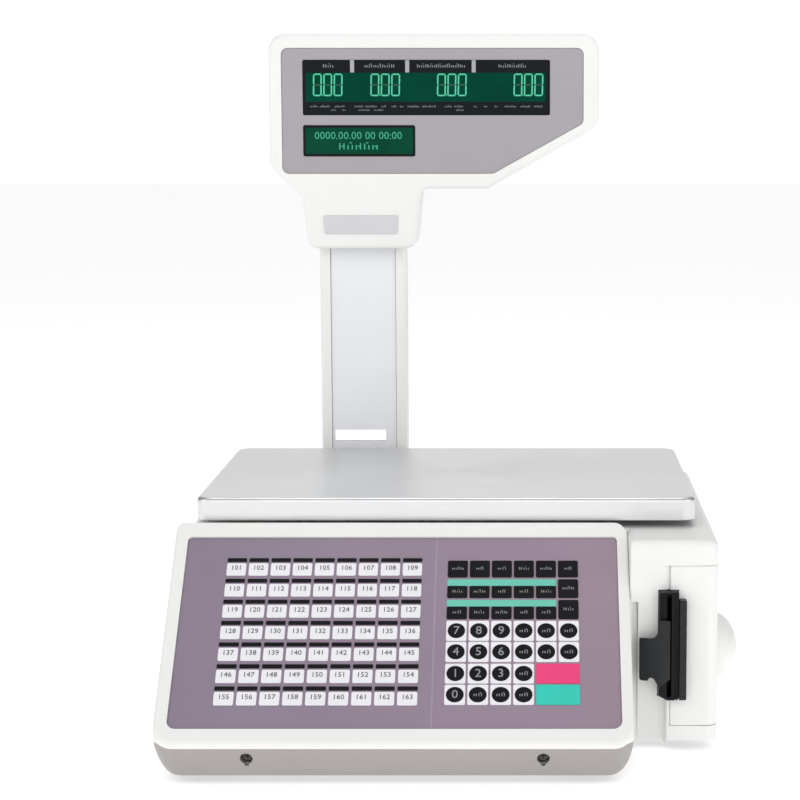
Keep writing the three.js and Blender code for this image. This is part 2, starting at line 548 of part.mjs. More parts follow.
function labelOutlet() {
  const { left, right, front, back, bottom, top } = OUTLET;
  // The tab runs into the bar through a fillet above and an arch below.
  const tab = plate([
    [TAB.left, TAB.bottom], [TAB.foot, TAB.bottom], [TAB.foot + 2.2, TAB.bottom + 2.4, 1.5],
    [left - 2.4, TAB.bottom + 0.7, 1], [left + 1, TAB.bottom - 3.8], [left + 1, TAB.top + 4],
    [left, TAB.top + 3], [left - 3, TAB.top, 3], [TAB.left, TAB.top]], TAB.front, TAB.back);
  const body = plate([
    [left + 5.5, bottom], [right, bottom], [right, top, 0.8], [left, top, 0.8], [left, bottom + 3]],
    front, back);
  return cut(join(body, tab), box(SLOT.left, SLOT.right, front - 1, back + 1, SLOT.bottom, SLOT.top));
}
add('label_outlet', labelOutlet(), blackPlastic);

const floorTop = FLOOR_Z + TRAY.floor + GAP;
add('spindle_plate', join(
  box(74, 130, 20, 70, floorTop, 14), box(74, 102, -62, 24, floorTop, 14),
  post(ROLL.x, ROLL.y, 13, 38.5, 9, 24), post(ROLL.x, ROLL.y, 13, 124, 5, 20),
  post(REWIND.x, REWIND.y, 13, 37, 7, 20), post(REWIND.x, REWIND.y, 13, 112, 4, 20)), zincSteel);

const rollTop = ROLL.bottom + ROLL.width;
add('label_spool', turned(ROLL.x, ROLL.y, [
  [5.5, 39], [44, 39], [44, 42.3], [19.4, 42.3], [19.4, 121], [5.5, 121], [5.5, 39]], 32), blackPlastic);
add('label_roll', turned(ROLL.x, ROLL.y, [
  [ROLL.core, ROLL.bottom], [ROLL.r, ROLL.bottom], [ROLL.r, rollTop], [ROLL.core, rollTop],
  [ROLL.core, ROLL.bottom]], 40), paper);
add('roll_flange', turned(ROLL.x, ROLL.y, [
  [ROLL.core, rollTop + GAP], [33, rollTop + GAP], [33, rollTop + 2.8], [24, rollTop + 2.8],
  [24, rollTop + 6], [ROLL.core, rollTop + 6], [ROLL.core, rollTop + GAP]], 28), blackPlastic);
add('rewind_spool', turned(REWIND.x, REWIND.y, [
  [4.5, 37.5], [20, 37.5], [20, 40.5], [11, 40.5], [11, 104], [20, 104], [20, 107], [4.5, 107],
  [4.5, 37.5]], 28), blackPlastic);

// ---------------------------------------------------------------- printer door
function printerDoor() {
  const r = HOUSING.corner;
  const { left, bottom, top, hingeX, hingeY, barrel, barrelLow, barrelHigh } = DOOR;
  const outerX = HOUSING.right;
  const profile = (d) => [
    [left - 5 * d, PRINTER.front + d], [outerX - d, PRINTER.front + d, r - d],
    [outerX - d, hingeY + 5 * d], [left - 5 * d, hingeY + 5 * d]];
  const shell = cut(
    slab(profile(0), bottom, top, 6), slab(profile(WALL), bottom - 1, top + 1, 6),
    box(left - 20, outerX - r - 3, PRINTER.front + 20, hingeY + 20, bottom - 1, top + 1));
  const bend = box(outerX - r - 1, outerX, PRINTER.front, PRINTER.front + r + 1, bottom - 2, top + 2);
  const inside = box(left - 20, outerX - WALL, PRINTER.front + WALL, hingeY + 20, bottom - 1, top + 1);
  const trimmed = cut(shell, cut(inside, bend));
  const barrels = [[bottom + 4, barrelLow], [barrelHigh, top - 4]].map(
    ([z0, z1]) => post(hingeX, hingeY, z0, z1, barrel, 20));
  const roomForHousingBarrel = box(hingeX - 8, outerX + 1, hingeY - 5, hingeY + 8, barrelLow, barrelHigh);
  const ends = [[bottom - 1, bottom + 4], [top - 4, top + 1]].map(([z0, z1]) =>
    box(hingeX - 8, outerX + 1, hingeY - 1, hingeY + 8, z0, z1));
  const notch = box(left - 1, OUTLET.right + GAP, PRINTER.front - 1, PRINTER.front + 12,
    OUTLET.bottom - GAP, OUTLET.top + GAP);
  return cut(
    join(trimmed, ...barrels), roomForHousingBarrel, ...ends, notch,
    post(hingeX, hingeY, 0, 140, 1.8, 16));
}
add('printer_door', printerDoor(), whitePlastic);

const STRIP = { left: OUTLET.right + GAP, right: 152.4, top: 104.9 };
add('outlet_strip', plate([
  [STRIP.left, OUTLET.bottom], [STRIP.right, OUTLET.bottom, 0.8], [STRIP.right, STRIP.top, 0.8],
  [STRIP.left, STRIP.top]], OUTLET.front, PRINTER.front - GAP), blackPlastic);

function doorGrip() {
  const ellipsoid = (rx, ry, rz, y) =>
    solid(new THREE.SphereGeometry(1, 20, 12).scale(rx, ry, rz).translate(HOUSING.right + GAP, y, 58));
  return cut(
    ellipsoid(17.8, 30, 23, -62), ellipsoid(11, 24, 17, -38),
    box(100, HOUSING.right + GAP, -120, 20, 0, 140));
}
add('door_grip', doorGrip(), whitePlastic);

add('door_hinge_pin', post(DOOR.hingeX, DOOR.hingeY, DOOR.bottom + 5, DOOR.top - 5, 1.5, 12), zincSteel);

// ---------------------------------------------------------------- pole
function poleTube() {
  const x0 = POLE.x - POLE.width / 2;
  const x1 = POLE.x + POLE.width / 2;
  const s0 = POLE.x - POLE.stripWidth / 2 - GAP;
  const s1 = POLE.x + POLE.stripWidth / 2 + GAP;
  const y0 = POLE.front;
  const y1 = POLE.front + POLE.depth;
  return cut(
    slab(rectangle(x0, x1, y0, y1, 3), POLE.bottom, POLE.top),
    slab(rectangle(x0 + WALL, x1 - WALL, y0 + 5.5, y1 - WALL, 1), POLE.bottom - 1, POLE.top + 1),
    box(s0, s1, y0 - 1, y0 + 3, POLE.bottom - 1, POLE.top + 1),
    box(POLE_SLOT.x0, POLE_SLOT.x1, y0 - 1, y1 + 1, POLE_SLOT.bottom, POLE_SLOT.top));
}
add('pole_tube', poleTube(), whitePlastic);

add('pole_front_strip', cut(
  box(POLE.x - POLE.stripWidth / 2, POLE.x + POLE.stripWidth / 2, POLE.front + 1.5, POLE.front + 3 - GAP,
    POLE.bottom, POLE.top),
  box(POLE_SLOT.x0, POLE_SLOT.x1, POLE.front - 1, POLE.front + 5, POLE_SLOT.bottom, POLE_SLOT.top)), poleFilm);

function poleBracket() {
  const half = POLE.width / 2;
  const y0 = HOUSING.back + GAP;
  const back = box(POLE.x - half - 6.5, POLE.x + half + 6.5, y0, y0 + 3, 40, 125);
  const ears = [-1, 1].map((side) => {
    const near = POLE.x + side * (half + GAP);
    const far = POLE.x + side * (half + 6.5);
    return box(Math.min(near, far), Math.max(near, far), y0, 198, 40, 125);
  });
  const shelf = box(POLE.x - half - 6.5, POLE.x + half + 6.5, y0, 198, 40, POLE.bottom - GAP);
  return join(back, ...ears, shelf);
}
add('pole_bracket', poleBracket(), zincSteel);

// ---------------------------------------------------------------- display head
function headOutline(d) {
  const drop = 0.58 * d;
  return [
    [NECK.left + d, NECK.bottom + d, Math.max(8 - d, 1)], [NECK.right - d, NECK.bottom + d, Math.max(8 - d, 1)],
    [NECK.topRight - d, HEAD.bottom + d, 6 + d], [15.7 - drop, HEAD.bottom + d, Math.max(12 - d, 1)],
    [HEAD.right - d, 415.8 + drop, Math.max(12 - d, 1)], [HEAD.right - d, HEAD.top - d, Math.max(13 - d, 1)],
    [HEAD.left + d, HEAD.top - d, Math.max(13 - d, 1)], [HEAD.left + d, 383.5 + drop, Math.max(14 - d, 1)],
    [NECK.topLeft + d, 359 + drop, 10]];
}

const panelOutline = (d) => [
  [-143.6 + d, 379.3 + d, 5], [19.6 - 0.58 * d, 379.3 + d, 5], [89.3 - d, 418 + 0.58 * d, 5],
  [89.3 - d, 475.2 - d, 5], [-143.6 + d, 475.2 - d, 5]];
const windowPlate = (w, grow, y0, y1) => plate(
  rectangle(w.x0 - grow, w.x1 + grow, w.z0 - grow, w.z1 + grow, 1.5), y0, y1);
const poleClear = box(
  POLE.x - POLE.width / 2 - GAP, POLE.x + POLE.width / 2 + GAP,
  POLE.front - GAP, POLE.front + POLE.depth + GAP, NECK.bottom - 5, POLE.top + 1);

add('head_front_shell', cut(
  plate(headOutline(0), HEAD.front, HEAD.split), plate(headOutline(WALL), HEAD.front + 4.5, HEAD.split + 1),
  poleClear,
  plate(panelOutline(-GAP), HEAD.front - 1, HEAD.front + 1.9),
  windowPlate(WINDOW_MAIN, GAP, HEAD.front - 1, HEAD.front + 10),
  windowPlate(WINDOW_CLOCK, GAP, HEAD.front - 1, HEAD.front + 10)), whitePlastic);

add('head_rear_shell', cut(
  plate(headOutline(0), HEAD.split + GAP, HEAD.back), plate(headOutline(WALL), HEAD.split, HEAD.back - 4.5),
  poleClear,
  plate(panelOutline(-GAP), HEAD.back - 1.9, HEAD.back + 1),
  windowPlate(WINDOW_MAIN, GAP, HEAD.back - 10, HEAD.back + 1)), whitePlastic);

add('head_front_panel', cut(
  plate(panelOutline(0), HEAD.front + 0.6, HEAD.front + 1.6),
  windowPlate(WINDOW_MAIN, GAP, HEAD.front - 1, HEAD.front + 10),
  windowPlate(WINDOW_CLOCK, GAP, HEAD.front - 1, HEAD.front + 10)), panelFilm);
add('head_rear_panel', cut(
  plate(panelOutline(0), HEAD.back - 1.6, HEAD.back - 0.6),
  windowPlate(WINDOW_MAIN, GAP, HEAD.back - 10, HEAD.back + 1)), panelFilm);

add('window_main', windowPlate(WINDOW_MAIN, 0, HEAD.front + 0.4, HEAD.front + 4), windowGlass);
add('window_clock', windowPlate(WINDOW_CLOCK, 0, HEAD.front + 0.4, HEAD.front + 4), windowGlass);
add('window_rear', windowPlate(WINDOW_MAIN, 0, HEAD.back - 4, HEAD.back - 0.4), windowGlass);

const boardOutline = [[-138, 388], [25, 388], [72, 416], [72, 470], [-138, 470]];
add('display_board', join(
  plate(boardOutline, HEAD.front + 12, HEAD.front + 13.6),
  windowPlate(WINDOW_MAIN, 0, HEAD.front + 6, HEAD.front + 12.5),
  windowPlate(WINDOW_CLOCK, 0, HEAD.front + 6, HEAD.front + 12.5)), circuitBoard);
add('rear_display_board', join(
  plate(boardOutline, HEAD.back - 14, HEAD.back - 12.4),
  windowPlate(WINDOW_MAIN, 0, HEAD.back - 12.8, HEAD.back - 6)), circuitBoard);

add('nameplate', plate([
  [-111.2, 332.5, 1], [-55.2, 332.5, 1], [-54.6, 346.6, 1], [-112.6, 346.6, 1]],
HEAD.front - GAP - 0.8, HEAD.front - GAP), finish(0xb9bcc2, 0.4, 0.6));

export default scale;
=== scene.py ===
# %% [markdown]
# A label printing scale. The CAD frame holds every part, size and joint. This script dresses it: each shell
# is moulded again with soft edges, the keypad and the displays get their printing, and every surface gets
# its finish. All numbers below are millimetres unless a name says otherwise; Blender works in metres.

# %% Load the frame and apply its placing to the meshes
import math

import bmesh
import bpy
from mathutils import Matrix, Vector


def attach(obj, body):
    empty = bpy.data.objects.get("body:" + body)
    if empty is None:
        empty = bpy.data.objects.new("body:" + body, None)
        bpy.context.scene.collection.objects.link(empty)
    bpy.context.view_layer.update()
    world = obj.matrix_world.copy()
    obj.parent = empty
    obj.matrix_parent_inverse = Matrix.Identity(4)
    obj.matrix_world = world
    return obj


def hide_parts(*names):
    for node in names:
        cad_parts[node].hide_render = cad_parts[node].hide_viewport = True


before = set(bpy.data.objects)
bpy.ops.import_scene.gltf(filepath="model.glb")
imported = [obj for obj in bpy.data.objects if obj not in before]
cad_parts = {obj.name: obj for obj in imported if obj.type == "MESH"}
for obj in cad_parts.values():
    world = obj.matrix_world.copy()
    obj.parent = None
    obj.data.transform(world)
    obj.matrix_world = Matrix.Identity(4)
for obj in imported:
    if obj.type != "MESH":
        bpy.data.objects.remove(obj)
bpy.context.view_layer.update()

MM = 0.001
GAP = 0.3  # the gap left between neighbouring mouldings

# %% [markdown]
# The camera stands in front of the scale and a little above it. The lens axis is aimed to the right of the
# pole and the picture is shifted sideways, so that lines running back meet at the right of the pole. The
# floor is a wide pale sheet. Four big soft panels light it, in a pale room with dark screens at its sides.

# %% Camera
CAMERA_SPOT = (48.2, -1562.5, 425.0)
CAMERA_PITCH_DEG = 7.407
camera_data = bpy.data.cameras.new("studio_camera")
camera_data.lens = 99.0
camera_data.sensor_width = 36.0
camera_data.shift_x = -0.1625
camera_data.clip_end = 50.0
camera = bpy.data.objects.new("studio_camera", camera_data)
camera.location = Vector(CAMERA_SPOT) * MM
camera.rotation_euler = (math.radians(90.0 - CAMERA_PITCH_DEG), 0.0, 0.0)
bpy.context.collection.objects.link(camera)
bpy.context.scene.camera = camera


# %% Floor and lights
def soft_panel(name, spot, aim, size, watts):
    light = bpy.data.lights.new(name, "AREA")
    light.shape = "RECTANGLE"
    light.size, light.size_y = size
    light.energy = watts
    panel = bpy.data.objects.new(name, light)
    panel.location = spot
    panel.rotation_euler = (Vector(aim) - Vector(spot)).to_track_quat("-Z", "Y").to_euler()
    bpy.context.collection.objects.link(panel)


soft_panel("high_key", (0, -2.1, 1.5), (0, 0, 0.15), (2.4, 1.4), 11)
soft_panel("left_panel", (-1.9, -0.9, 1.2), (0, 0, 0.2), (1.2, 1.4), 5)
soft_panel("right_panel", (1.9, -0.9, 1.2), (0, 0, 0.2), (1.2, 1.4), 6)
soft_panel("overhead", (0, 0.5, 2.2), (0, 0, 0.1), (1.6, 1.2), 11)


def ranged(tree, source, low, high, to_low, to_high, shape="SMOOTHSTEP"):
    node = tree.nodes.new("ShaderNodeMapRange")
    node.interpolation_type = shape
    for socket, value in (("From Min", low), ("From Max", high), ("To Min", to_low), ("To Max", to_high)):
        node.inputs[socket].default_value = value
    tree.links.new(source, node.inputs["Value"])
    return node.outputs["Result"]


def combined(tree, operation, *sources):
    node = tree.nodes.new("ShaderNodeMath")
    node.operation = operation
    for i, source in enumerate(sources):
        tree.links.new(source, node.inputs[i])
    return node.outputs["Value"]


def pale_room(horizon, zenith, side_dark):
    """A white room, brightest along the horizon, with dark screens behind the object at both sides."""
    room = bpy.data.worlds.new("pale_room")
    room.use_nodes = True
    tree = room.node_tree
    split = tree.nodes.new("ShaderNodeSeparateXYZ")
    tree.links.new(tree.nodes.new("ShaderNodeTexCoord").outputs["Generated"], split.inputs["Vector"])
    glow = ranged(tree, split.outputs["Z"], 0.30, 0.60, horizon, zenith)
    beside = ranged(tree, combined(tree, "ABSOLUTE", split.outputs["X"]), 0.42, 0.62, 0.0, 1.0)
    behind = ranged(tree, split.outputs["Y"], 0.05, 0.35, 0.0, 1.0)
    open_part = ranged(tree, combined(tree, "MULTIPLY", beside, behind), 0.0, 1.0, 1.0, 1.0 - side_dark)
    kept = combined(tree, "MULTIPLY", glow, open_part)
    shade = tree.nodes["Background"]
    shade.inputs["Color"].default_value = (1.0, 1.0, 1.0, 1.0)
    tree.links.new(kept, shade.inputs["Strength"])
    return room


bpy.context.scene.world = pale_room(1.04, 0.45, 0.8)
bpy.context.scene.view_settings.view_transform = "Standard"

floor_mesh = bpy.data.meshes.new("studio_floor")
reach = 12.0
floor_mesh.from_pydata([(-reach, -reach, 0), (reach, -reach, 0), (reach, reach, 0), (-reach, reach, 0)],
                       [], [(0, 1, 2, 3)])
floor = bpy.data.objects.new("studio_floor", floor_mesh)
bpy.context.collection.objects.link(floor)


# %% [markdown]
# Finishes. Every finish is a Principled shader with three small patterns on the part's own coordinates: a
# slow cloud that moves the colour a little, a finer one that moves the roughness, and a fine grain that
# lifts the surface. Moulded plastic, film, rubber and metal differ in the sizes and depths of the three.

# %% A helper that makes a finish
NOISE_RANGE = (0.3, 0.7)  # most values of a noise lie in here


def finish(name, colour, roughness, metallic=0.0, cloud=0.03, cloud_size=60.0, grain=0.06, grain_size=0.6,
           spread=0.06, stretch=(1.0, 1.0, 1.0), **shader_values):
    """cloud: how far the colour moves; grain: bump strength; sizes in mm; stretch pulls the grain."""
    material = bpy.data.materials.new(name)
    material.use_nodes = True
    tree = material.node_tree
    shader = tree.nodes["Principled BSDF"]
    shader.inputs["Metallic"].default_value = metallic
    for socket, value in shader_values.items():
        shader.inputs[socket.replace("_", " ")].default_value = value
    place = tree.nodes.new("ShaderNodeTexCoord").outputs["Object"]
    stretched = tree.nodes.new("ShaderNodeMapping")
    stretched.inputs["Scale"].default_value = stretch
    tree.links.new(place, stretched.inputs["Vector"])

    def noise(size_mm, vector, detail=3.0):
        node = tree.nodes.new("ShaderNodeTexNoise")
        node.inputs["Scale"].default_value = 1.0 / (size_mm * MM)
        node.inputs["Detail"].default_value = detail
        tree.links.new(vector, node.inputs["Vector"])
        return node.outputs["Fac"]

    def spread_to(value, low, high, socket):
        tree.links.new(ranged(tree, value, *NOISE_RANGE, low, high, "LINEAR"), socket)

    tint = tree.nodes.new("ShaderNodeMix")
    tint.data_type = "RGBA"
    tint.inputs["A"].default_value = (*[c * (1 - cloud) for c in colour], 1.0)
    tint.inputs["B"].default_value = (*[min(c * (1 + cloud), 1.0) for c in colour], 1.0)
    spread_to(noise(cloud_size, place), 0.0, 1.0, tint.inputs["Factor"])
    tree.links.new(tint.outputs["Result"], shader.inputs["Base Color"])
    fine = noise(grain_size, stretched.outputs["Vector"], 4.0)
    spread_to(fine, max(roughness - spread, 0.02), roughness + spread, shader.inputs["Roughness"])
    bump = tree.nodes.new("ShaderNodeBump")
    bump.inputs["Strength"].default_value = grain
    bump.inputs["Distance"].default_value = 0.2 * MM
    tree.links.new(fine, bump.inputs["Height"])
    tree.links.new(bump.outputs["Normal"], shader.inputs["Normal"])
    return material


# %% The finishes of this scale
white_shell = finish("white_moulded_shell", (0.80, 0.797, 0.782), 0.42, cloud=0.012, grain=0.10)
# The skirt finish is the white plastic darkened: painted shade for the keypad skirt, which faces down.
skirt_painted_shade_shell = finish("skirt_painted_shade", (0.335, 0.312, 0.303), 0.5, cloud=0.015, grain=0.10)
black_shell = finish("black_moulded_plastic", (0.006, 0.007, 0.008), 0.45, cloud=0.15, grain=0.12,
                     Specular_IOR_Level=0.15)
# A lighter copy of the black plastic: painted light for the outlet paddle and strip, which look greyer where
# light falls on their faces.
black_shell_painted_lit = finish("black_plastic_painted_lit", (0.018, 0.020, 0.022), 0.36, cloud=0.12, grain=0.10,
                     Specular_IOR_Level=0.2)
blue_lever = finish("blue_moulded_lever", (0.04, 0.2, 0.42), 0.4, grain=0.1)
brushed_steel = finish("brushed_stainless", (0.72, 0.725, 0.735), 0.38, 1.0, cloud=0.02, cloud_size=120.0,
                       grain=0.05, grain_size=1.2, spread=0.07, stretch=(0.03, 1.0, 1.0), Anisotropic=0.35)
zinc_plate = finish("zinc_plated_steel", (0.55, 0.56, 0.57), 0.38, 1.0, cloud=0.08, cloud_size=14.0,
                    grain=0.05, grain_size=0.9, spread=0.09)
cast_alloy = finish("cast_alloy", (0.52, 0.53, 0.54), 0.5, 1.0, cloud=0.06, cloud_size=9.0, grain=0.35,
                    grain_size=1.4, spread=0.1)
# A darkened copy of the zinc plating: painted shade for the screw heads deep in their holes.
screw_painted_shade = finish("recessed_screw_painted_shade", (0.17, 0.155, 0.15), 0.6, 0.5, cloud=0.1, cloud_size=8.0,
                    grain=0.08)
black_rubber = finish("black_rubber", (0.018, 0.018, 0.019), 0.8, cloud=0.2, grain=0.25, grain_size=0.8)
green_board = finish("green_circuit_board", (0.02, 0.14, 0.06), 0.35, cloud=0.25, cloud_size=3.0,
                     grain=0.15, grain_size=0.9)
roll_paper = finish("label_paper", (0.83, 0.81, 0.76), 0.85, cloud=0.05, cloud_size=6.0, grain=0.4,
                    grain_size=0.5, stretch=(0.15, 0.15, 1.0))
natural_nylon = finish("natural_nylon", (0.72, 0.68, 0.55), 0.5, cloud=0.04, grain=0.1)
vial_clear = finish("level_vial_acrylic", (0.5, 0.72, 0.12), 0.12, cloud=0.05, grain=0.02,
                    Transmission_Weight=0.6)
pale_film = finish("pale_pole_film", (0.78, 0.79, 0.815), 0.38, cloud=0.015, grain=0.08)
head_film = finish("mauve_grey_head_film", (0.345, 0.325, 0.35), 0.45, cloud=0.02, grain=0.14)
badge_metal = finish("blank_badge", (0.58, 0.58, 0.61), 0.4, 0.25, cloud=0.03, grain=0.1,
                     stretch=(0.05, 1.0, 1.0))
pale_floor = finish("pale_floor", (0.95, 0.95, 0.945), 0.9, cloud=0.004, cloud_size=800.0, grain=0.0,
                    Emission_Strength=0.46, Emission_Color=(1.0, 1.0, 1.0, 1.0))
floor.data.materials.append(pale_floor)
print("finishes:", len(bpy.data.materials))


# %% [markdown]
# Moulded shapes. Most parts of the scale are an outline pushed through a depth, with its edges rounded over.
# An outline is a list of corners with a radius each. Insetting the outline step by step while it climbs a
# quarter circle gives a true rounded edge all the way round, which a modifier could not promise on a shell
# that is cut afterwards. Openings are then cut with exact booleans.

# %% Outlines
def rounded(corners, steps=8):
    """Points of an anticlockwise outline whose corners are (x, y, radius)."""
    points = []
    count = len(corners)
    for i, (x, y, radius) in enumerate(corners):
        here = Vector((x, y))
        back = (Vector(corners[i - 1][:2]) - here).normalized()
        ahead = (Vector(corners[(i + 1) % count][:2]) - here).normalized()
        half = math.acos(max(-1.0, min(1.0, back.dot(ahead)))) / 2
        centre = here + (back + ahead).normalized() * (radius / math.sin(half))
        start = here + back * (radius / math.tan(half)) - centre
        end = here + ahead * (radius / math.tan(half)) - centre
        turn = math.atan2(start.x * end.y - start.y * end.x, start.dot(end))
        for step in range(steps + 1):
            points.append(centre + Matrix.Rotation(turn * step / steps, 2) @ start)
    return points


def inset(corners, depth):
    """The outline with every edge moved inwards by depth, its corner radii following."""
    moved = []
    count = len(corners)
    for i, (x, y, radius) in enumerate(corners):
        here = Vector((x, y))
        along = (here - Vector(corners[i - 1][:2])).normalized()
        ahead = (Vector(corners[(i + 1) % count][:2]) - here).normalized()
        inward = Vector((-along.y, along.x))
        inward_ahead = Vector((-ahead.y, ahead.x))
        spot = here + (inward + inward_ahead) * (depth / (1 + inward.dot(inward_ahead)))
        convex = along.x * ahead.y - along.y * ahead.x > 0
        moved.append((spot.x, spot.y, max(radius - depth if convex else radius + depth, 0.02)))
    return moved


def oblong(x0, x1, y0, y1, radius=0.3):
    return [(x0, y0, radius), (x1, y0, radius), (x1, y1, radius), (x0, y1, radius)]


PLANES = {
    "plan": lambda a, b, h: (a, b, h),
    "front": lambda a, b, h: (a, h, b),
    "side": lambda a, b, h: (h, a, b),
}


# %% Bodies from outlines
def mesh_piece(name, work):
    bmesh.ops.recalc_face_normals(work, faces=work.faces[:])
    mesh = bpy.data.meshes.new(name)
    work.to_mesh(mesh)
    work.free()
    piece = bpy.data.objects.new(name, mesh)
    bpy.context.collection.objects.link(piece)
    return piece


def through(name, rings):
    """A closed body through rings of points, each ring with the same number of points."""
    work = bmesh.new()
    loops = [[work.verts.new(Vector(point) * MM) for point in ring] for ring in rings]
    for low, high in zip(loops, loops[1:]):
        for i in range(len(low)):
            j = (i + 1) % len(low)
            work.faces.new((low[i], low[j], high[j], high[i]))
    work.faces.new(loops[0])
    work.faces.new(loops[-1])
    return mesh_piece(name, work)


def moulded(name, corners, low, high, plane="plan", low_edge=0.0, high_edge=0.0, steps=8, edge_steps=5):
    """An outline pushed from low to high, with rounded low and high edges."""
    place = PLANES[plane]
    quarter = [math.pi / 2 * k / edge_steps for k in range(edge_steps + 1)]
    levels = [(low, 0.0)]
    if low_edge:
        levels = [(low + low_edge * (1 - math.cos(turn)), low_edge * (1 - math.sin(turn)))
                  for turn in quarter]
    if high_edge:
        levels += [(high - high_edge * (1 - math.sin(turn)), high_edge * (1 - math.cos(turn)))
                   for turn in quarter]
    else:
        levels.append((high, 0.0))
    rings = [[place(p.x, p.y, h) for p in rounded(inset(corners, d), steps)] for h, d in levels]
    return through(name, rings)


def block(x0, x1, y0, y1, z0, z1):
    """A plain cutter, used only to open or trim a moulded body."""
    return through("cutter", [[(x0, y0, z), (x1, y0, z), (x1, y1, z), (x0, y1, z)] for z in (z0, z1)])


def turned(name, x, y, profile, sides=64, closed=False):
    """A body of revolution about the upright line at (x, y) through (radius, z) points."""
    work = bmesh.new()
    loops = []
    for i in range(sides):
        turn = 2 * math.pi * i / sides
        loops.append([work.verts.new(Vector((x + r * math.cos(turn), y + r * math.sin(turn), z)) * MM)
                      for r, z in profile])
    last = len(profile) if closed else len(profile) - 1
    for i, loop in enumerate(loops):
        beside = loops[(i + 1) % sides]
        for j in range(last):
            k = (j + 1) % len(profile)
            work.faces.new((loop[j], beside[j], beside[k], loop[k]))
    bmesh.ops.remove_doubles(work, verts=work.verts[:], dist=0.001 * MM)
    if not closed:
        edges = [edge for edge in work.edges if edge.is_boundary]
        bmesh.ops.contextual_create(work, geom=edges)
    return mesh_piece(name, work)


# %% Cutting, joining and smoothing
def evaluated(piece):
    graph = bpy.context.evaluated_depsgraph_get()
    mesh = bpy.data.meshes.new_from_object(piece.evaluated_get(graph))
    piece.modifiers.clear()
    old, piece.data = piece.data, mesh
    bpy.data.meshes.remove(old)
    return piece


def boolean(piece, operation, tools):
    for tool in tools:
        step = piece.modifiers.new("step", "BOOLEAN")
        step.operation = operation
        step.solver = "EXACT"
        step.object = tool
    evaluated(piece)
    for tool in tools:
        mesh = tool.data
        bpy.data.objects.remove(tool)
        bpy.data.meshes.remove(mesh)
    return piece


def cut(piece, *tools):
    return boolean(piece, "DIFFERENCE", tools)


def join(piece, *tools):
    return boolean(piece, "UNION", tools)


def smooth(piece, angle=32.0, edge=0.0):
    """Smooth shading that keeps flats flat; edge breaks the remaining sharp corners by that much."""
    mesh = piece.data
    mesh.polygons.foreach_set("use_smooth", [True] * len(mesh.polygons))
    mesh.set_sharp_from_angle(angle=math.radians(angle))
    if edge:
        bevel = piece.modifiers.new("broken_edge", "BEVEL")
        bevel.width = edge * MM
        bevel.segments = 2
        bevel.limit_method = "ANGLE"
        bevel.angle_limit = math.radians(angle)
        bevel.use_clamp_overlap = True
    weigh = piece.modifiers.new("even_flats", "WEIGHTED_NORMAL")
    weigh.keep_sharp = True
    return piece


def dress(piece, body, slot, material, *nodes):
    """The piece's finish, the body it moves with, its slot and the CAD nodes it stands for; slot is not used.
    """
    piece.data.materials.clear()
    piece.data.materials.append(material)
    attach(piece, body)
    if nodes:
        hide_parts(*nodes)
    return piece


# %% [markdown]
# Keypad wedge. A white moulding with a tucked-under skirt, fat rounded front corners and a sloped face. It is
# lofted through plan outlines that widen as they climb the skirt. The walls end in a rim that lies on the
# slope, where the last rings bend inwards and round it over. Then the shallow pocket for the film is sunk.

# %% Slope of the keypad
OVERLAY_LOW = Vector((0.0, -202.9, 37.1))
OVERLAY_HIGH = Vector((0.0, -95.5, 139.9))
OVERLAY_X = (-183.0, 106.7)
slope_run = OVERLAY_HIGH - OVERLAY_LOW
OVERLAY_LENGTH = slope_run.length
SLOPE = math.atan2(slope_run.z, slope_run.y)
to_slope = Matrix.Translation(OVERLAY_LOW * MM) @ Matrix.Rotation(SLOPE, 4, "X")
LIP = 1.2
print("slope", round(math.degrees(SLOPE), 2), "deg, overlay", round(OVERLAY_LENGTH, 1))


def lean(piece):
    """Moves a piece drawn flat (x across, y up the slope, z outwards) onto the keypad's slope."""
    piece.data.transform(to_slope)
    return piece


def on_film(piece, ink, softened=True):
    """Leans a printed piece onto the keypad and gives it its ink; digits stay unsmoothed."""
    lean(piece)
    return dress(smooth(piece) if softened else piece, "housing", "keypad_film", ink)


# %% Wedge outline and skirt
KEYPAD = {"left": -192.1, "right": 114.5, "front": -212.5, "back": -86.5, "wall": 2.5}
# Levels of the skirt: height, how far in the sides and the front lie, corner radius
SKIRT = [(5.6, 9.5, 14.0, 9.0), (7.0, 7.0, 13.2, 11.0), (9.5, 5.0, 11.7, 12.0), (13.0, 3.1, 9.7, 13.0),
         (18.0, 1.7, 6.8, 13.0), (24.0, 0.5, 3.3, 13.0), (29.6, 0.0, 0.0, 13.0)]


def wedge_plan(side, front, corner, wall):
    k = KEYPAD
    x0, x1 = k["left"] + side + wall, k["right"] - side - wall
    y0, y1 = k["front"] + front + wall, k["back"] - wall
    turn = max(corner - wall, 0.8)
    return rounded([(x0, y0, turn), (x1, y0, turn), (x1, y1, max(9.0 - wall, 0.5)),
                    (x0, y1, max(5.0 - wall, 0.4))],
                   10)


def on_slope(point, lift):
    """The point moved up or down to the slope, or to a slope lying lift above the overlay's face."""
    rise = (point.y - OVERLAY_LOW.y) * math.tan(SLOPE) + lift / math.cos(SLOPE)
    return Vector((point.x, point.y, OVERLAY_LOW.z + rise))


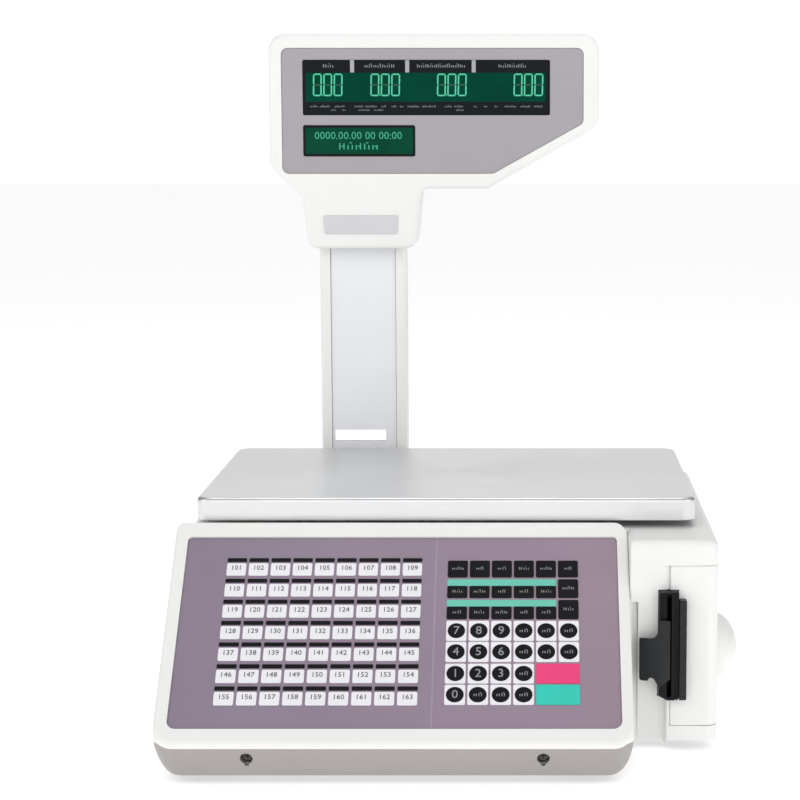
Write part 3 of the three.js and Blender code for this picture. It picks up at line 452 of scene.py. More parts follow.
def wedge_body(name, wall, lift, edge):
    """The wedge drawn in by wall, its slope at lift above the overlay, its rim rounded over by edge."""
    levels = [(SKIRT[0][0] - 1.0, *SKIRT[0][1:])] + SKIRT[2:-1] if wall else SKIRT[:-1]
    rings = [[Vector((p.x, p.y, z)) for p in wedge_plan(side, front, corner, wall)]
             for z, side, front, corner in levels]
    ridge_z, top_level = SKIRT[-1][0], rings[-1]
    rim = [on_slope(p, lift) for p in wedge_plan(0.0, 0.0, SKIRT[-1][3], wall)]
    inner = [on_slope(p, lift) for p in wedge_plan(0.0, 0.0, SKIRT[-1][3], wall + edge)]

    def wall_point(low, high, z):
        """A point of the upright line below the rim, which bends inwards below the ridge."""
        part = min(max((z - low.z) / (ridge_z - low.z), 0.0), 1.0)
        flat = low.lerp(high, part)
        return Vector((flat.x, flat.y, z))

    starts = [wall_point(low, high, high.z - edge) for low, high in zip(top_level, rim)]
    rings.append([wall_point(low, high, min(ridge_z, start.z - 0.4))
                  for low, high, start in zip(top_level, rim, starts)])
    steps = 6
    for k in range(steps + 1):
        t = k / steps
        rings.append([start.lerp(high, t).lerp(high.lerp(end, t), t)
                      for start, high, end in zip(starts, rim, inner)])
    return through(name, rings)


# %% Keypad housing
SCREW_X = (-37.7 - 94.4, -37.7 + 94.4)
SCREW_Z = 18.9
SCREW_SEAT = -196.0


def round_bar(name, x, z, y0, y1, radius, sides=40):
    turn = [2 * math.pi * i / sides for i in range(sides)]
    return through(name, [[(x + radius * math.cos(t), y, z + radius * math.sin(t)) for t in turn]
                          for y in (y0, y1)])


def keypad_housing():
    outer = wedge_body("keypad_housing_shell", 0.0, LIP, 2.6)
    shape = outer.copy()
    shape.data = outer.data.copy()
    bpy.context.collection.objects.link(shape)
    bosses = round_bar("bosses", SCREW_X[0], SCREW_Z, KEYPAD["front"], SCREW_SEAT + 7, 6.1)
    join(bosses, round_bar("boss", SCREW_X[1], SCREW_Z, KEYPAD["front"], SCREW_SEAT + 7, 6.1))
    boolean(bosses, "INTERSECT", [shape])
    hollow = wedge_body("cutter", KEYPAD["wall"], -4.0, 0.5)
    x0, x1, y1 = OVERLAY_X[0] - GAP, OVERLAY_X[1] + GAP, OVERLAY_LENGTH + GAP
    pocket = lean(moulded("cutter", [(x0, -GAP, 6), (x1, -GAP, 6), (x1, y1, 3), (x0, y1, 3)], -1.3, 8.0))
    cut(outer, hollow, pocket, block(-179, 101.8, -110, -80, 0, 21), block(-150, 80, -110, -80, 0, 110))
    join(outer, bosses)
    holes = []
    for x in SCREW_X:
        tail = moulded("cutter", oblong(x - 1.5, x + 1.5, SCREW_Z - 5.7, SCREW_Z, 1.4), KEYPAD["front"] - 3,
                       SCREW_SEAT - 4, "front")
        holes += [round_bar("cutter", x, SCREW_Z, KEYPAD["front"] - 3, SCREW_SEAT, 4.1), tail,
                  round_bar("cutter", x, SCREW_Z, SCREW_SEAT - 1, SCREW_SEAT + 16, 1.9, 24)]
    return smooth(cut(outer, *holes))


def paint_shade_below(piece, finish_used, ridge):
    """Gives the faces that lie below the ridge their own finish, a darker copy of the white plastic: painted
    shade on the skirt, which faces down.
    """
    piece.data.materials.append(finish_used)
    for face in piece.data.polygons:
        heights = [piece.data.vertices[v].co.z / MM for v in face.vertices]
        if max(heights) < ridge + 0.1 and min(heights) < SKIRT[-2][0] + 0.1:
            face.material_index = 1


# The faces below the ridge get painted shade: the white plastic darkened where the skirt faces down.
keypad = dress(keypad_housing(), "housing", "white_plastic", white_shell, "keypad_housing")
paint_shade_below(keypad, skirt_painted_shade_shell, SKIRT[-1][0])

# %% [markdown]
# Keypad film. The overlay is one printed sheet, mauve with a faint seam between the item keys and the number
# keys. The seam is in the finish, read from the sheet's own coordinates, and so is painted light: the sheet
# is darker on its left and lighter on its right, as the light falls on it. The keys are real raised pads on
# top of it.

# %% Overlay finish and sheet
keypad_film = finish("mauve_keypad_film", (0.265, 0.208, 0.270), 0.44, cloud=0.03, grain=0.16, grain_size=0.5)


def add_seam_and_painted_side_light(material, seam_x, left_painted_shade, right_painted_light, x0, x1):
    tree = material.node_tree
    shader = tree.nodes["Principled BSDF"]
    base = shader.inputs["Base Color"].links[0].from_socket
    split = tree.nodes.new("ShaderNodeSeparateXYZ")
    tree.links.new(tree.nodes.new("ShaderNodeTexCoord").outputs["Object"], split.inputs["Vector"])

    def mixed(factor, under, over, blend="MIX"):
        node = tree.nodes.new("ShaderNodeMix")
        node.data_type = "RGBA"
        node.blend_type = blend
        for socket, value in (("Factor", factor), ("A", under), ("B", over)):
            if isinstance(value, bpy.types.NodeSocket):
                tree.links.new(value, node.inputs[socket])
            else:
                node.inputs[socket].default_value = value
        return node.outputs["Result"]

    # Painted light: the film's colour is multiplied from darker on its left to lighter on its right.
    across = ranged(tree, split.outputs["X"], x0 * MM, x1 * MM, 0.0, 1.0, "LINEAR")
    side_lit_film = mixed(1.0, base, mixed(across, (*left_painted_shade, 1.0), (*right_painted_light, 1.0)), "MULTIPLY")
    away = tree.nodes.new("ShaderNodeMath")
    away.operation = "SUBTRACT"
    away.inputs[1].default_value = seam_x * MM
    tree.links.new(split.outputs["X"], away.inputs[0])
    near = combined(tree, "ABSOLUTE", away.outputs["Value"])
    line = ranged(tree, near, 0.2 * MM, 0.7 * MM, 0.25, 0.0, "LINEAR")
    tree.links.new(mixed(line, side_lit_film, (0.5, 0.46, 0.52, 1.0)), shader.inputs["Base Color"])


# The left and right factors paint shade on the film's left and light on its right.
add_seam_and_painted_side_light(keypad_film, -14.8, (0.88, 0.90, 0.93), (1.10, 1.04, 1.03), *OVERLAY_X)
sheet = moulded("keypad_overlay_sheet", [
    (OVERLAY_X[0], 0, 5.5), (OVERLAY_X[1], 0, 5.5), (OVERLAY_X[1], OVERLAY_LENGTH, 2.5),
    (OVERLAY_X[0], OVERLAY_LENGTH, 2.5)], -1.0, 0.0, high_edge=0.2, edge_steps=2)
dress(smooth(lean(sheet)), "housing", "keypad_film", keypad_film, "keypad_overlay")

# %% [markdown]
# Key pads. The keys repeat on a strict pitch, so one node tree makes them all: it draws a rounded pad, gives
# it a closed underside and sets it out on a grid. Round pads are the same tree with the corner radius at half
# the width. The tree ends in real geometry, and each grid becomes a plain mesh leaned onto the slope.

# %% The pad grid tree
PAD_INPUTS = [("Columns", "NodeSocketInt"), ("Rows", "NodeSocketInt"), ("Span X", "NodeSocketFloat"),
              ("Span Y", "NodeSocketFloat"), ("Width", "NodeSocketFloat"), ("Height", "NodeSocketFloat"),
              ("Corner", "NodeSocketFloat"), ("Corner Points", "NodeSocketInt"),
              ("Thickness", "NodeSocketFloat"), ("Finish", "NodeSocketMaterial")]


def new_tree(name, inputs, takes_geometry=False):
    tree = bpy.data.node_groups.new(name, "GeometryNodeTree")
    if takes_geometry:
        tree.interface.new_socket("Geometry", in_out="INPUT", socket_type="NodeSocketGeometry")
    for label, kind in inputs:
        tree.interface.new_socket(label, in_out="INPUT", socket_type=kind)
    tree.interface.new_socket("Geometry", in_out="OUTPUT", socket_type="NodeSocketGeometry")
    return tree, tree.nodes.new("NodeGroupInput"), tree.nodes.new("NodeGroupOutput")


def pad_grid_tree():
    tree, given, result = new_tree("pad_grid", PAD_INPUTS)
    link = tree.links.new
    frame_curve = tree.nodes.new("GeometryNodeCurvePrimitiveQuadrilateral")
    link(given.outputs["Width"], frame_curve.inputs["Width"])
    link(given.outputs["Height"], frame_curve.inputs["Height"])
    fillet = tree.nodes.new("GeometryNodeFilletCurve")
    fillet.mode = "POLY"
    link(frame_curve.outputs["Curve"], fillet.inputs["Curve"])
    link(given.outputs["Corner"], fillet.inputs["Radius"])
    link(given.outputs["Corner Points"], fillet.inputs["Count"])
    fill = tree.nodes.new("GeometryNodeFillCurve")
    fill.mode = "NGONS"
    link(fillet.outputs["Curve"], fill.inputs["Curve"])
    raised = tree.nodes.new("GeometryNodeExtrudeMesh")
    raised.inputs["Individual"].default_value = False
    link(fill.outputs["Mesh"], raised.inputs["Mesh"])
    link(given.outputs["Thickness"], raised.inputs["Offset Scale"])
    under = tree.nodes.new("GeometryNodeFlipFaces")
    link(fill.outputs["Mesh"], under.inputs["Mesh"])
    both = tree.nodes.new("GeometryNodeJoinGeometry")
    link(raised.outputs["Mesh"], both.inputs["Geometry"])
    link(under.outputs["Mesh"], both.inputs["Geometry"])
    closed = tree.nodes.new("GeometryNodeMergeByDistance")
    closed.inputs["Distance"].default_value = 1e-6
    link(both.outputs["Geometry"], closed.inputs["Geometry"])
    grid = tree.nodes.new("GeometryNodeMeshGrid")
    for label, socket in (("Span X", "Size X"), ("Span Y", "Size Y"), ("Columns", "Vertices X"),
                          ("Rows", "Vertices Y")):
        link(given.outputs[label], grid.inputs[socket])
    points = tree.nodes.new("GeometryNodeMeshToPoints")
    link(grid.outputs["Mesh"], points.inputs["Mesh"])
    spread = tree.nodes.new("GeometryNodeInstanceOnPoints")
    link(points.outputs["Points"], spread.inputs["Points"])
    link(closed.outputs["Geometry"], spread.inputs["Instance"])
    real = tree.nodes.new("GeometryNodeRealizeInstances")
    link(spread.outputs["Instances"], real.inputs["Geometry"])
    painted = tree.nodes.new("GeometryNodeSetMaterial")
    link(real.outputs["Geometry"], painted.inputs["Geometry"])
    link(given.outputs["Finish"], painted.inputs["Material"])
    link(painted.outputs["Geometry"], result.inputs["Geometry"])
    return tree


PAD_TREE = pad_grid_tree()
PAD_FACE, DISC_FACE = 0.35, 0.45  # heights of the key faces above the film


def grown(name, tree, values, seed_mesh=None):
    """The tree's result as a plain mesh piece. Inputs are set by their sockets' identifiers."""
    carrier = bpy.data.objects.new(name, seed_mesh or bpy.data.meshes.new(name))
    bpy.context.collection.objects.link(carrier)
    modifier = carrier.modifiers.new("grow", "NODES")
    modifier.node_group = tree
    names = {item.name: item.identifier for item in tree.interface.items_tree if item.in_out == "INPUT"}
    for label, value in values.items():
        modifier[names[label]] = value
    return evaluated(carrier)


def pads(name, finish_used, columns, rows, first, pitch, size, corner, thickness=PAD_FACE, corner_points=3):
    """A grid of pads; first is the centre of the lower left pad on the slope, sizes in mm."""
    span = ((columns - 1) * pitch[0], (rows - 1) * pitch[1])
    piece = grown(name, PAD_TREE, {
        "Columns": columns, "Rows": rows, "Span X": span[0] * MM, "Span Y": span[1] * MM,
        "Width": size[0] * MM, "Height": size[1] * MM, "Corner": corner * MM,
        "Corner Points": corner_points, "Thickness": thickness * MM, "Finish": finish_used})
    piece.data.transform(Matrix.Translation(Vector((first[0] + span[0] / 2, first[1] + span[1] / 2, 0)) * MM))
    return piece


# %% Printed inks of the keypad
key_white = finish("key_white_ink", (0.80, 0.79, 0.83), 0.4, cloud=0.02, grain=0.08)
key_black = finish("key_black_ink", (0.007, 0.006, 0.008), 0.45, cloud=0.2, grain=0.08,
                   Specular_IOR_Level=0.12)
key_teal = finish("key_teal_ink", (0.13, 0.52, 0.41), 0.4, cloud=0.05, grain=0.08)
key_pink = finish("key_pink_ink", (0.80, 0.045, 0.19), 0.38, cloud=0.04, grain=0.08)
key_aqua = finish("key_aqua_ink", (0.022, 0.56, 0.45), 0.38, cloud=0.04, grain=0.08)
mark_dark = finish("dark_print", (0.06, 0.06, 0.08), 0.5, cloud=0.1, grain=0.02)
mark_light = finish("light_print", (0.26, 0.28, 0.29), 0.5, cloud=0.05, grain=0.02)

# %% Item keys
PITCH_X = 14.75
ITEM = {"columns": 9, "rows": 7, "left": -155.1, "top": 131.9, "pitch": 16.72, "width": 12.9,
        "strip": 2.9, "label": 10.0, "label_drop": 4.1}


def item_row_middle(offset, height):
    """Slope height of the middle of a band, offset below its key's top, on the lowest row."""
    return ITEM["top"] - (ITEM["rows"] - 1) * ITEM["pitch"] - offset - height / 2


def item_keys():
    middle_x = ITEM["left"] + ITEM["width"] / 2
    pitch = (PITCH_X, ITEM["pitch"])
    strips = pads("item_key_strips", key_black, ITEM["columns"], ITEM["rows"],
                  (middle_x, item_row_middle(0, ITEM["strip"])), pitch,
                  (ITEM["width"], ITEM["strip"]), 0.5)
    fields = pads("item_key_fields", key_white, ITEM["columns"], ITEM["rows"],
                  (middle_x, item_row_middle(ITEM["label_drop"], ITEM["label"])), pitch,
                  (ITEM["width"], ITEM["label"]), 1.1)
    on_film(strips, key_black)
    on_film(fields, key_white)
    print("item keys:", ITEM["columns"] * ITEM["rows"])


item_keys()

# %% [markdown]
# Number keys. Three rows of dark function keys, two of them under a teal band, then four rows of white keys
# with a black disc, and two double-width keys in pink and aqua. Every band is one more grid from the same
# tree. The rows are listed by the slope height of their lower and upper edges.

# %% Number keys
NUMBER_LEFT = -6.85
KEY_WIDTH = 13.4
FUNCTION_ROWS = [(116.4, 129.9), (99.9, 114.8), (83.2, 98.3)]
TEAL_BANDS = [(109.6, 114.8), (93.2, 98.3)]
DISC_ROWS = [(66.3, 81.9), (50.1, 65.5), (33.8, 48.8), (17.9, 32.9)]
DISC = 11.5


def row_of(name, ink, columns, row, first_column=0, thickness=PAD_FACE, corner=1.1):
    low, high = row
    spot = (NUMBER_LEFT + KEY_WIDTH / 2 + first_column * PITCH_X, (low + high) / 2)
    return pads(name, ink, columns, 1, spot, (PITCH_X, 0), (KEY_WIDTH, high - low), corner, thickness)


def number_keys():
    for i, row in enumerate(FUNCTION_ROWS):
        if i == 0:
            made = row_of("function_keys_1", key_black, 6, row)
        else:
            band = TEAL_BANDS[i - 1]
            made = row_of(f"function_keys_{i + 1}", key_black, 5, (row[0], band[0] - 0.2))
            side = row_of(f"side_key_{i + 1}", key_black, 1, row, 5)
            on_film(side, key_black)
            wide = 4 * PITCH_X + KEY_WIDTH
            teal = pads(f"teal_band_{i}", key_teal, 1, 1, (NUMBER_LEFT + wide / 2, sum(band) / 2), (0, 0),
                        (wide, band[1] - band[0]), 0.5, 0.3)
            on_film(teal, key_teal)
        on_film(made, key_black)
    for i, row in enumerate(DISC_ROWS):
        count = 6 if i < 2 else 4
        base = row_of(f"disc_keys_{i + 1}", key_white, count, row, thickness=0.3)
        on_film(base, key_white)
        middle = (NUMBER_LEFT + KEY_WIDTH / 2, sum(row) / 2)
        discs = pads(f"key_discs_{i + 1}", key_black, count, 1, middle, (PITCH_X, 0), (DISC, DISC),
                     DISC / 2 - 0.01, DISC_FACE, 9)
        on_film(discs, key_black)
    for name, ink, row in (("pink_key", key_pink, DISC_ROWS[2]), ("aqua_key", key_aqua, DISC_ROWS[3])):
        wide = PITCH_X + KEY_WIDTH
        spot = (NUMBER_LEFT + 4 * PITCH_X + wide / 2, sum(row) / 2)
        big = pads(name, ink, 1, 1, spot, (0, 0), (wide, row[1] - row[0]), 1.0, 0.4)
        on_film(big, ink)


number_keys()

# %% [markdown]
# Printing on the keys. Only plain digits and marks are printed: digits on the item keys and the number
# keys, and small meaningless marks where a key would carry a word. Digits are text turned to mesh, because
# a text object's place may not be applied while it is still text, and all digits of one ink are one piece.

# %% Digits and bars
def printing(name, words, bars=(), depth=0.12, lift=0.0):
    """words: (text, x, y, height); bars: (x, y, width, height); centred on their spots, drawn flat."""
    work = bmesh.new()
    for text, x, y, height in words:
        curve = bpy.data.curves.new("digits", "FONT")
        curve.body = text
        curve.size = height / 0.7 * MM
        curve.align_x = "CENTER"
        curve.align_y = "CENTER"
        curve.extrude = depth / 2 * MM
        curve.resolution_u = 2
        holder = bpy.data.objects.new("digits", curve)
        bpy.context.collection.objects.link(holder)
        graph = bpy.context.evaluated_depsgraph_get()
        mesh = bpy.data.meshes.new_from_object(holder.evaluated_get(graph))
        mesh.transform(Matrix.Translation(Vector((x, y, lift + depth / 2)) * MM))
        work.from_mesh(mesh)
        bpy.data.objects.remove(holder)
        bpy.data.curves.remove(curve)
        bpy.data.meshes.remove(mesh)
    for x, y, width, height in bars:
        made = bmesh.ops.create_cube(work, size=1.0)
        place = Matrix.LocRotScale(Vector((x, y, lift + depth / 2)) * MM, None,
                                   Vector((width, height, depth)) * MM)
        bmesh.ops.transform(work, matrix=place, verts=made["verts"])
    bmesh.ops.remove_doubles(work, verts=work.verts[:], dist=1e-7)
    return mesh_piece(name, work)


def scribble(x, y, width, height):
    """Bars that read as one small printed word from afar, centred on a spot, without being letters."""
    pitch = height * 0.62
    count = max(int(width / pitch), 2)
    heights = (1.0, 0.68, 0.68, 0.95, 0.68)
    bars = []
    for i in range(count):
        tall = height * heights[(i * 3 + count) % 5]
        left = x - width / 2 + (i + 0.5) * width / count
        bars.append((left, y - (height - tall) / 2, height * 0.2, tall))
        if i % 2:
            bars.append((left - width / count * 0.35, y - height * 0.28 * (1 - i % 4), width / count * 0.5,
                         height * 0.18))
    return bars


def key_printing():
    words = []
    for i in range(ITEM["rows"] * ITEM["columns"]):
        row, column = divmod(i, ITEM["columns"])
        x = ITEM["left"] + ITEM["width"] / 2 + column * PITCH_X
        y = ITEM["top"] - row * ITEM["pitch"] - ITEM["label_drop"] - 3.9
        words.append((f"{i + 101}", x, y, 3.6))
    on_film(printing("item_key_numbers", words, lift=PAD_FACE), mark_dark, False)
    light = []
    bars = []
    digits = ["789", "456", "123", "0"]
    for i, row in enumerate(DISC_ROWS):
        for column in range(6 if i < 2 else 4):
            x = NUMBER_LEFT + KEY_WIDTH / 2 + column * PITCH_X
            if column < len(digits[i]):
                light.append((digits[i][column], x, sum(row) / 2, 6.2))
            else:
                bars += scribble(x, sum(row) / 2, 6.4, 2.4)
    on_film(printing("number_key_digits", light, bars, lift=DISC_FACE), mark_light, False)
    bars = []
    for i, row in enumerate(FUNCTION_ROWS):
        for column in range(6):
            x = NUMBER_LEFT + KEY_WIDTH / 2 + column * PITCH_X
            low = row[0]
            high = TEAL_BANDS[i - 1][0] if i and column < 5 else row[1]
            bars += scribble(x, (low + high) / 2 + 0.4, 8.5 - (column * 3 + i) % 4, 2.2)
    on_film(printing("function_key_bars", [], bars, lift=PAD_FACE), mark_light, False)


key_printing()

# %% [markdown]
# Weighing platter. A stainless sheet pressed down at its rim, with a skirt all round that hides the pads. It
# is the same outline stepped through the edge radius twice, once outside and once a sheet's thickness in.

# %% Platter
PLATTER = {"x": -9.5, "y": 35.7, "width": 342.8, "depth": 230.0, "top": 164.6, "skirt": 15.6, "sheet": 1.2}


def platter():
    p = PLATTER
    outline = oblong(p["x"] - p["width"] / 2, p["x"] + p["width"] / 2, p["y"] - p["depth"] / 2,
                     p["y"] + p["depth"] / 2, 11.0)
    outer = moulded("platter_sheet", outline, p["top"] - p["skirt"], p["top"], high_edge=3.2, steps=12)
    inner = moulded("cutter", inset(outline, p["sheet"]), p["top"] - p["skirt"] - 1, p["top"] - p["sheet"],
                    high_edge=2.0, steps=12)
    return smooth(cut(outer, inner), edge=0.25)


dress(platter(), "platter", "stainless", brushed_steel, "platter")

# %% [markdown]
# Upper housing. One white moulding: the deck under the platter, the side and rear walls and the printer
# corner, which stands beside the keypad. It is a rounded box, hollowed, with openings for the door, the
# label outlet, the sockets and the spider post. The vent slots in the rear wall come from the pad tree.

# %% Housing outlines
HOUSING = {"left": -186.0, "right": 174.0, "back": 166.0, "top": 144.0, "front": -84.0}
PRINTER_LEFT, PRINTER_FRONT = 114.7, -126.5
DOOR = {"left": 141.7, "bottom": 18.0, "top": 127.0, "x": 170.0, "y": 101.0, "barrel": 4.0}
OUTLET = {"left": 133.9, "right": 147.2, "front": -134.0, "back": -112.0, "bottom": 37.2, "top": 110.6}
RECESS = {"left": 116.0, "step": 120.4, "deep_right": 137.7, "right": 139.7, "top": 102.0, "depth": 9.0,
          "groove": 4.0}
SEAM = 0.12  # the finer gap round the door


def housing_corners():
    h = HOUSING
    return [(h["left"], h["front"], 0.6), (PRINTER_LEFT, h["front"], 0.6), (PRINTER_LEFT, PRINTER_FRONT, 1.5),
            (h["right"], PRINTER_FRONT, 8), (h["right"], h["back"], 8), (h["left"], h["back"], 8)]


def post(x, y, z0, z1, radius, sides=40):
    turns = [2 * math.pi * i / sides for i in range(sides)]
    return through("cutter", [[(x + radius * math.cos(t), y + radius * math.sin(t), z) for t in turns]
                              for z in (z0, z1)])


def vent_slots():
    slots = pads("cutter", white_shell, 12, 1, (-24.0, 100.0), (7.0, 0), (3.0, 26.0), 1.45, 12.0, 4)
    slots.data.transform(Matrix.Translation((0, 0.172, 0)) @ Matrix.Rotation(math.pi / 2, 4, "X"))
    return slots


def leaning_recess():
    """The hollow for a hanging label: flush at its top, deepest at the floor, its right wall slanted."""
    r = RECESS
    x0, front = r["step"] - 1, PRINTER_FRONT
    levels = ((4.0, r["depth"], r["deep_right"]), (r["top"], 0.02, r["right"] - 0.1))
    return through("cutter", [
        [(x0, front - 1, z), (r["right"] + 0.3, front - 1, z), (deep_x, front + deep, z),
         (x0, front + deep, z)]
        for z, deep, deep_x in levels])


def slanted_groove():
    """The strip left of the recess, slanting back to the recess's left edge."""
    r = RECESS
    front = PRINTER_FRONT
    return through("cutter", [
        [(r["left"], front - 1, z), (r["step"], front - 1, z), (r["step"], front + deep, z),
         (r["left"] + 0.6, front + 0.8, z), (r["left"], front, z)]
        for z, deep in ((4.0, r["depth"]), (r["top"] + 0.6, r["groove"]))])


def door_side_dip():
    """Above the outlet the housing turns in softly towards the gap beside the door."""
    front, edge = PRINTER_FRONT, DOOR["left"]
    dip = [(edge - 6.0, front - 1), (edge - 6.0, front), (edge - 4.0, front + 0.35),
           (edge - 2.0, front + 1.2),
           (edge - 0.1, front + 2.4), (edge - 0.1, front - 1)]
    return through("cutter",
                   [[(x, y, z) for x, y in reversed(dip)] for z in (OUTLET["top"] - 6, DOOR["top"] + GAP)])


def upper_housing():
    corners = housing_corners()
    shell = moulded("upper_housing_shell", corners, 8.0, HOUSING["top"], high_edge=4.2, low_edge=0.6,
                    steps=10)
    cut(shell, moulded("cutter", inset(corners, 2.5), 0.0, HOUSING["top"] - 2.5, high_edge=1.8, steps=10))
    d, o, r = DOOR, OUTLET, RECESS
    wall = PRINTER_FRONT + 2.5
    recess_back = PRINTER_FRONT + r["depth"]
    backing = through("backing", [
        [(PRINTER_LEFT, PRINTER_FRONT, z), (d["left"] - GAP, PRINTER_FRONT, z), (d["left"] - GAP, back, z),
         (PRINTER_LEFT, back, z)]
         for z, back in ((5.2, recess_back + 2.5), (r["top"] + 2.5, wall + r["groove"]))])
    join(shell, backing)
    cut(shell, leaning_recess(), slanted_groove(), door_side_dip(),
        block(o["left"] - GAP, o["right"] + GAP, o["front"] - 1, o["back"] + 6, o["bottom"] - GAP,
              o["top"] + GAP),
        block(r["right"] - 0.4, d["left"] + 3, PRINTER_FRONT - 1, PRINTER_FRONT + 13, 0, 8),
        block(d["left"] - SEAM, 180, PRINTER_FRONT - 5, PRINTER_FRONT + 2.7, d["bottom"] - SEAM,
              d["top"] + SEAM),
        block(d["left"] + 2, 180, PRINTER_FRONT, PRINTER_FRONT + 12, d["bottom"] + 2, d["top"] - 2),
        block(162, 180, PRINTER_FRONT - 5, d["y"] + d["barrel"] + 0.6, d["bottom"] - GAP, d["top"] + GAP))
    cut(shell,
        block(-150, 80, HOUSING["front"] - 1, HOUSING["front"] + 6, 0, 110),
        block(-179, 101.8, HOUSING["front"] - 1, HOUSING["front"] + 6, 0, 21),
        post(40, 35.7, 138, 148, 22), post(-150, -45, 138, 148, 7),
        block(-1, 51, 160, 170, 22, 54), block(-30.5, -13.5, 160, 170, 24, 38.5),
        block(90.5, 109.5, 160, 170, 25, 37), vent_slots())
    hinge = join(post(d["x"], d["y"], 53, 92, d["barrel"]),
                 block(166, 168.5, d["y"], d["y"] + 8, 53, 92),
                 block(166, 173, d["y"] + 5.5, d["y"] + 8, 53, 92))
    join(shell, cut(hinge, post(d["x"], d["y"], 50, 95, 1.8, 24)))
    return smooth(shell)


dress(upper_housing(), "housing", "white_plastic", white_shell, "upper_housing")

# %% [markdown]
# Printer door. The door wraps round the front right corner of the printer bay and swings on an upright pin
# at its rear edge. Its outline in plan is a thin L with a rounded corner, pushed up through its height; the
# notch leaves room for the label outlet, and the barrels at its rear edge turn on the pin.

# %% Door, grip and outlet strip
def printer_door():
    d, o = DOOR, OUTLET
    right = HOUSING["right"]
    outline = [(d["left"], PRINTER_FRONT, 1.2), (right, PRINTER_FRONT, 8), (right, d["y"], 0.4),
               (right - 2.5, d["y"], 0.4), (right - 2.5, PRINTER_FRONT + 2.5, 5.5),
               (d["left"], PRINTER_FRONT + 2.5, 0.4)]
    door = moulded("printer_door_shell", outline, d["bottom"], d["top"], low_edge=0.8, high_edge=1.1,
                   steps=10,
                   edge_steps=3)
    barrels = [post(d["x"], d["y"], z0, z1, d["barrel"]) for z0, z1 in ((22, 52.4), (92.6, 123))]
    join(door, *barrels)
    cut(door,
        block(d["x"] - 8, right + 1, d["y"] - 5, d["y"] + 8, 52.4, 92.6),
        block(d["x"] - 8, right + 1, d["y"] - 5, d["y"] + 8, 17, 22),
        block(d["x"] - 8, right + 1, d["y"] - 1, d["y"] + 8, 123, 128),
        block(d["left"] - 1, o["right"] + GAP, PRINTER_FRONT - 1, PRINTER_FRONT + 12, o["bottom"] - GAP,
              o["top"] + GAP),
        post(d["x"], d["y"], 0, 140, 1.8, 24))
    return smooth(door)


def half_dome(name, x, y, z, radii, scoop_y, scoop_radii):
    def ellipsoid(label, centre_y, size):
        work = bmesh.new()
        bmesh.ops.create_uvsphere(work, u_segments=48, v_segments=32, radius=1.0)
        bmesh.ops.transform(work, matrix=Matrix.LocRotScale(
            Vector((x, centre_y, z)) * MM, None, Vector(size) * MM), verts=work.verts[:])
        return mesh_piece(label, work)
    dome = ellipsoid(name, y, radii)
    return cut(dome, ellipsoid("cutter", scoop_y, scoop_radii), block(100, x, -120, 20, 0, 140))


dress(printer_door(), "printer_door", "white_plastic", white_shell, "printer_door")
grip = half_dome("door_grip_moulding", HOUSING["right"] + GAP, -62.0, 58.0, (17.8, 30, 23), -38.0,
                 (11, 24, 17))
dress(smooth(grip, edge=0.5), "printer_door", "white_plastic", white_shell, "door_grip")
strip = moulded("outlet_strip_moulding", oblong(OUTLET["right"] + GAP, 152.4, OUTLET["bottom"], 104.9, 0.8),
                OUTLET["front"], PRINTER_FRONT - GAP, "front", low_edge=0.8)
# The strip gets the lighter copy of the black plastic, painted light.
dress(smooth(strip), "printer_door", "black_plastic", black_shell_painted_lit, "outlet_strip")

# %% [markdown]
# Label outlet. A black guide that stands out of the printer's front: a tall bar with the label slot in it,
# and a bent paddle on its left that steers the printed label. The bar is an outline pushed back and cut;
# the paddle is lofted across its width from stations, each with its own depth, lowest and highest point.

# %% Label outlet
def label_outlet():
    o = OUTLET
    front = o["front"]
    bar = moulded("label_outlet_moulding", [
        (o["left"] + 5.5, o["bottom"], 0.6), (o["right"], o["bottom"], 0.8), (o["right"], o["top"], 1.2),
        (o["left"], o["top"], 1.2), (o["left"], o["bottom"] + 3, 0.6)], front, o["back"], "front",
        low_edge=0.7)
    return smooth(cut(
        bar,
        block(139.2, 142.3, front - 1, front + 12, 39.5, 109.2),         # dark slot, blind
        block(140.0, 142.3, front + 10, o["back"] + 1, 41.0, 104.5),     # the way through for the label
        block(135.3, 139.3, front - 1, front + 2.5, 92.0, 109.2),
        block(144.6, o["right"] + 1, front - 1, front + 2.0, 30.0, 120.0)))


PADDLE_STATIONS = [  # x, face y, lowest z, highest z
    (121.1, -129.8, 50.9, 78.4), (121.8, -130.9, 50.3, 79.0), (124.0, -132.2, 50.3, 79.2),
    (126.4, -133.0, 50.3, 79.2), (127.4, -133.3, 52.0, 79.2), (128.8, -133.6, 52.7, 79.3),
    (130.6, -134.0, 51.9, 79.8), (132.0, -134.3, 49.6, 80.9), (133.0, -134.5, 47.8, 82.6),
    (133.9, -134.6, 46.5, 86.0), (134.5, -134.7, 46.4, 91.4), (135.2, -134.8, 46.6, 91.8),
    (138.6, -134.9, 49.6, 91.8), (139.6, -134.7, 50.6, 91.4), (141.6, -133.6, 51.0, 91.2)]


def label_paddle():
    rings = [[(x, face, low), (x, face, high), (x, max(face + 2.2, -132.4), high),
              (x, max(face + 2.2, -132.4), low)]
             for x, face, low, high in PADDLE_STATIONS]
    paddle = through("label_paddle_moulding", rings)
    return smooth(paddle, angle=40.0, edge=0.45)


dress(label_outlet(), "housing", "black_plastic", black_shell, "label_outlet")
# The paddle gets the lighter copy of the black plastic, painted light for its lit curved face.
dress(label_paddle(), "housing", "black_plastic", black_shell_painted_lit)

# %% [markdown]
# Pole. A flat extruded tube behind the platter. A pale film strip lies in a shallow channel down its front,
# and an open slot goes through its foot. A bent steel bracket holds it to the rear wall.

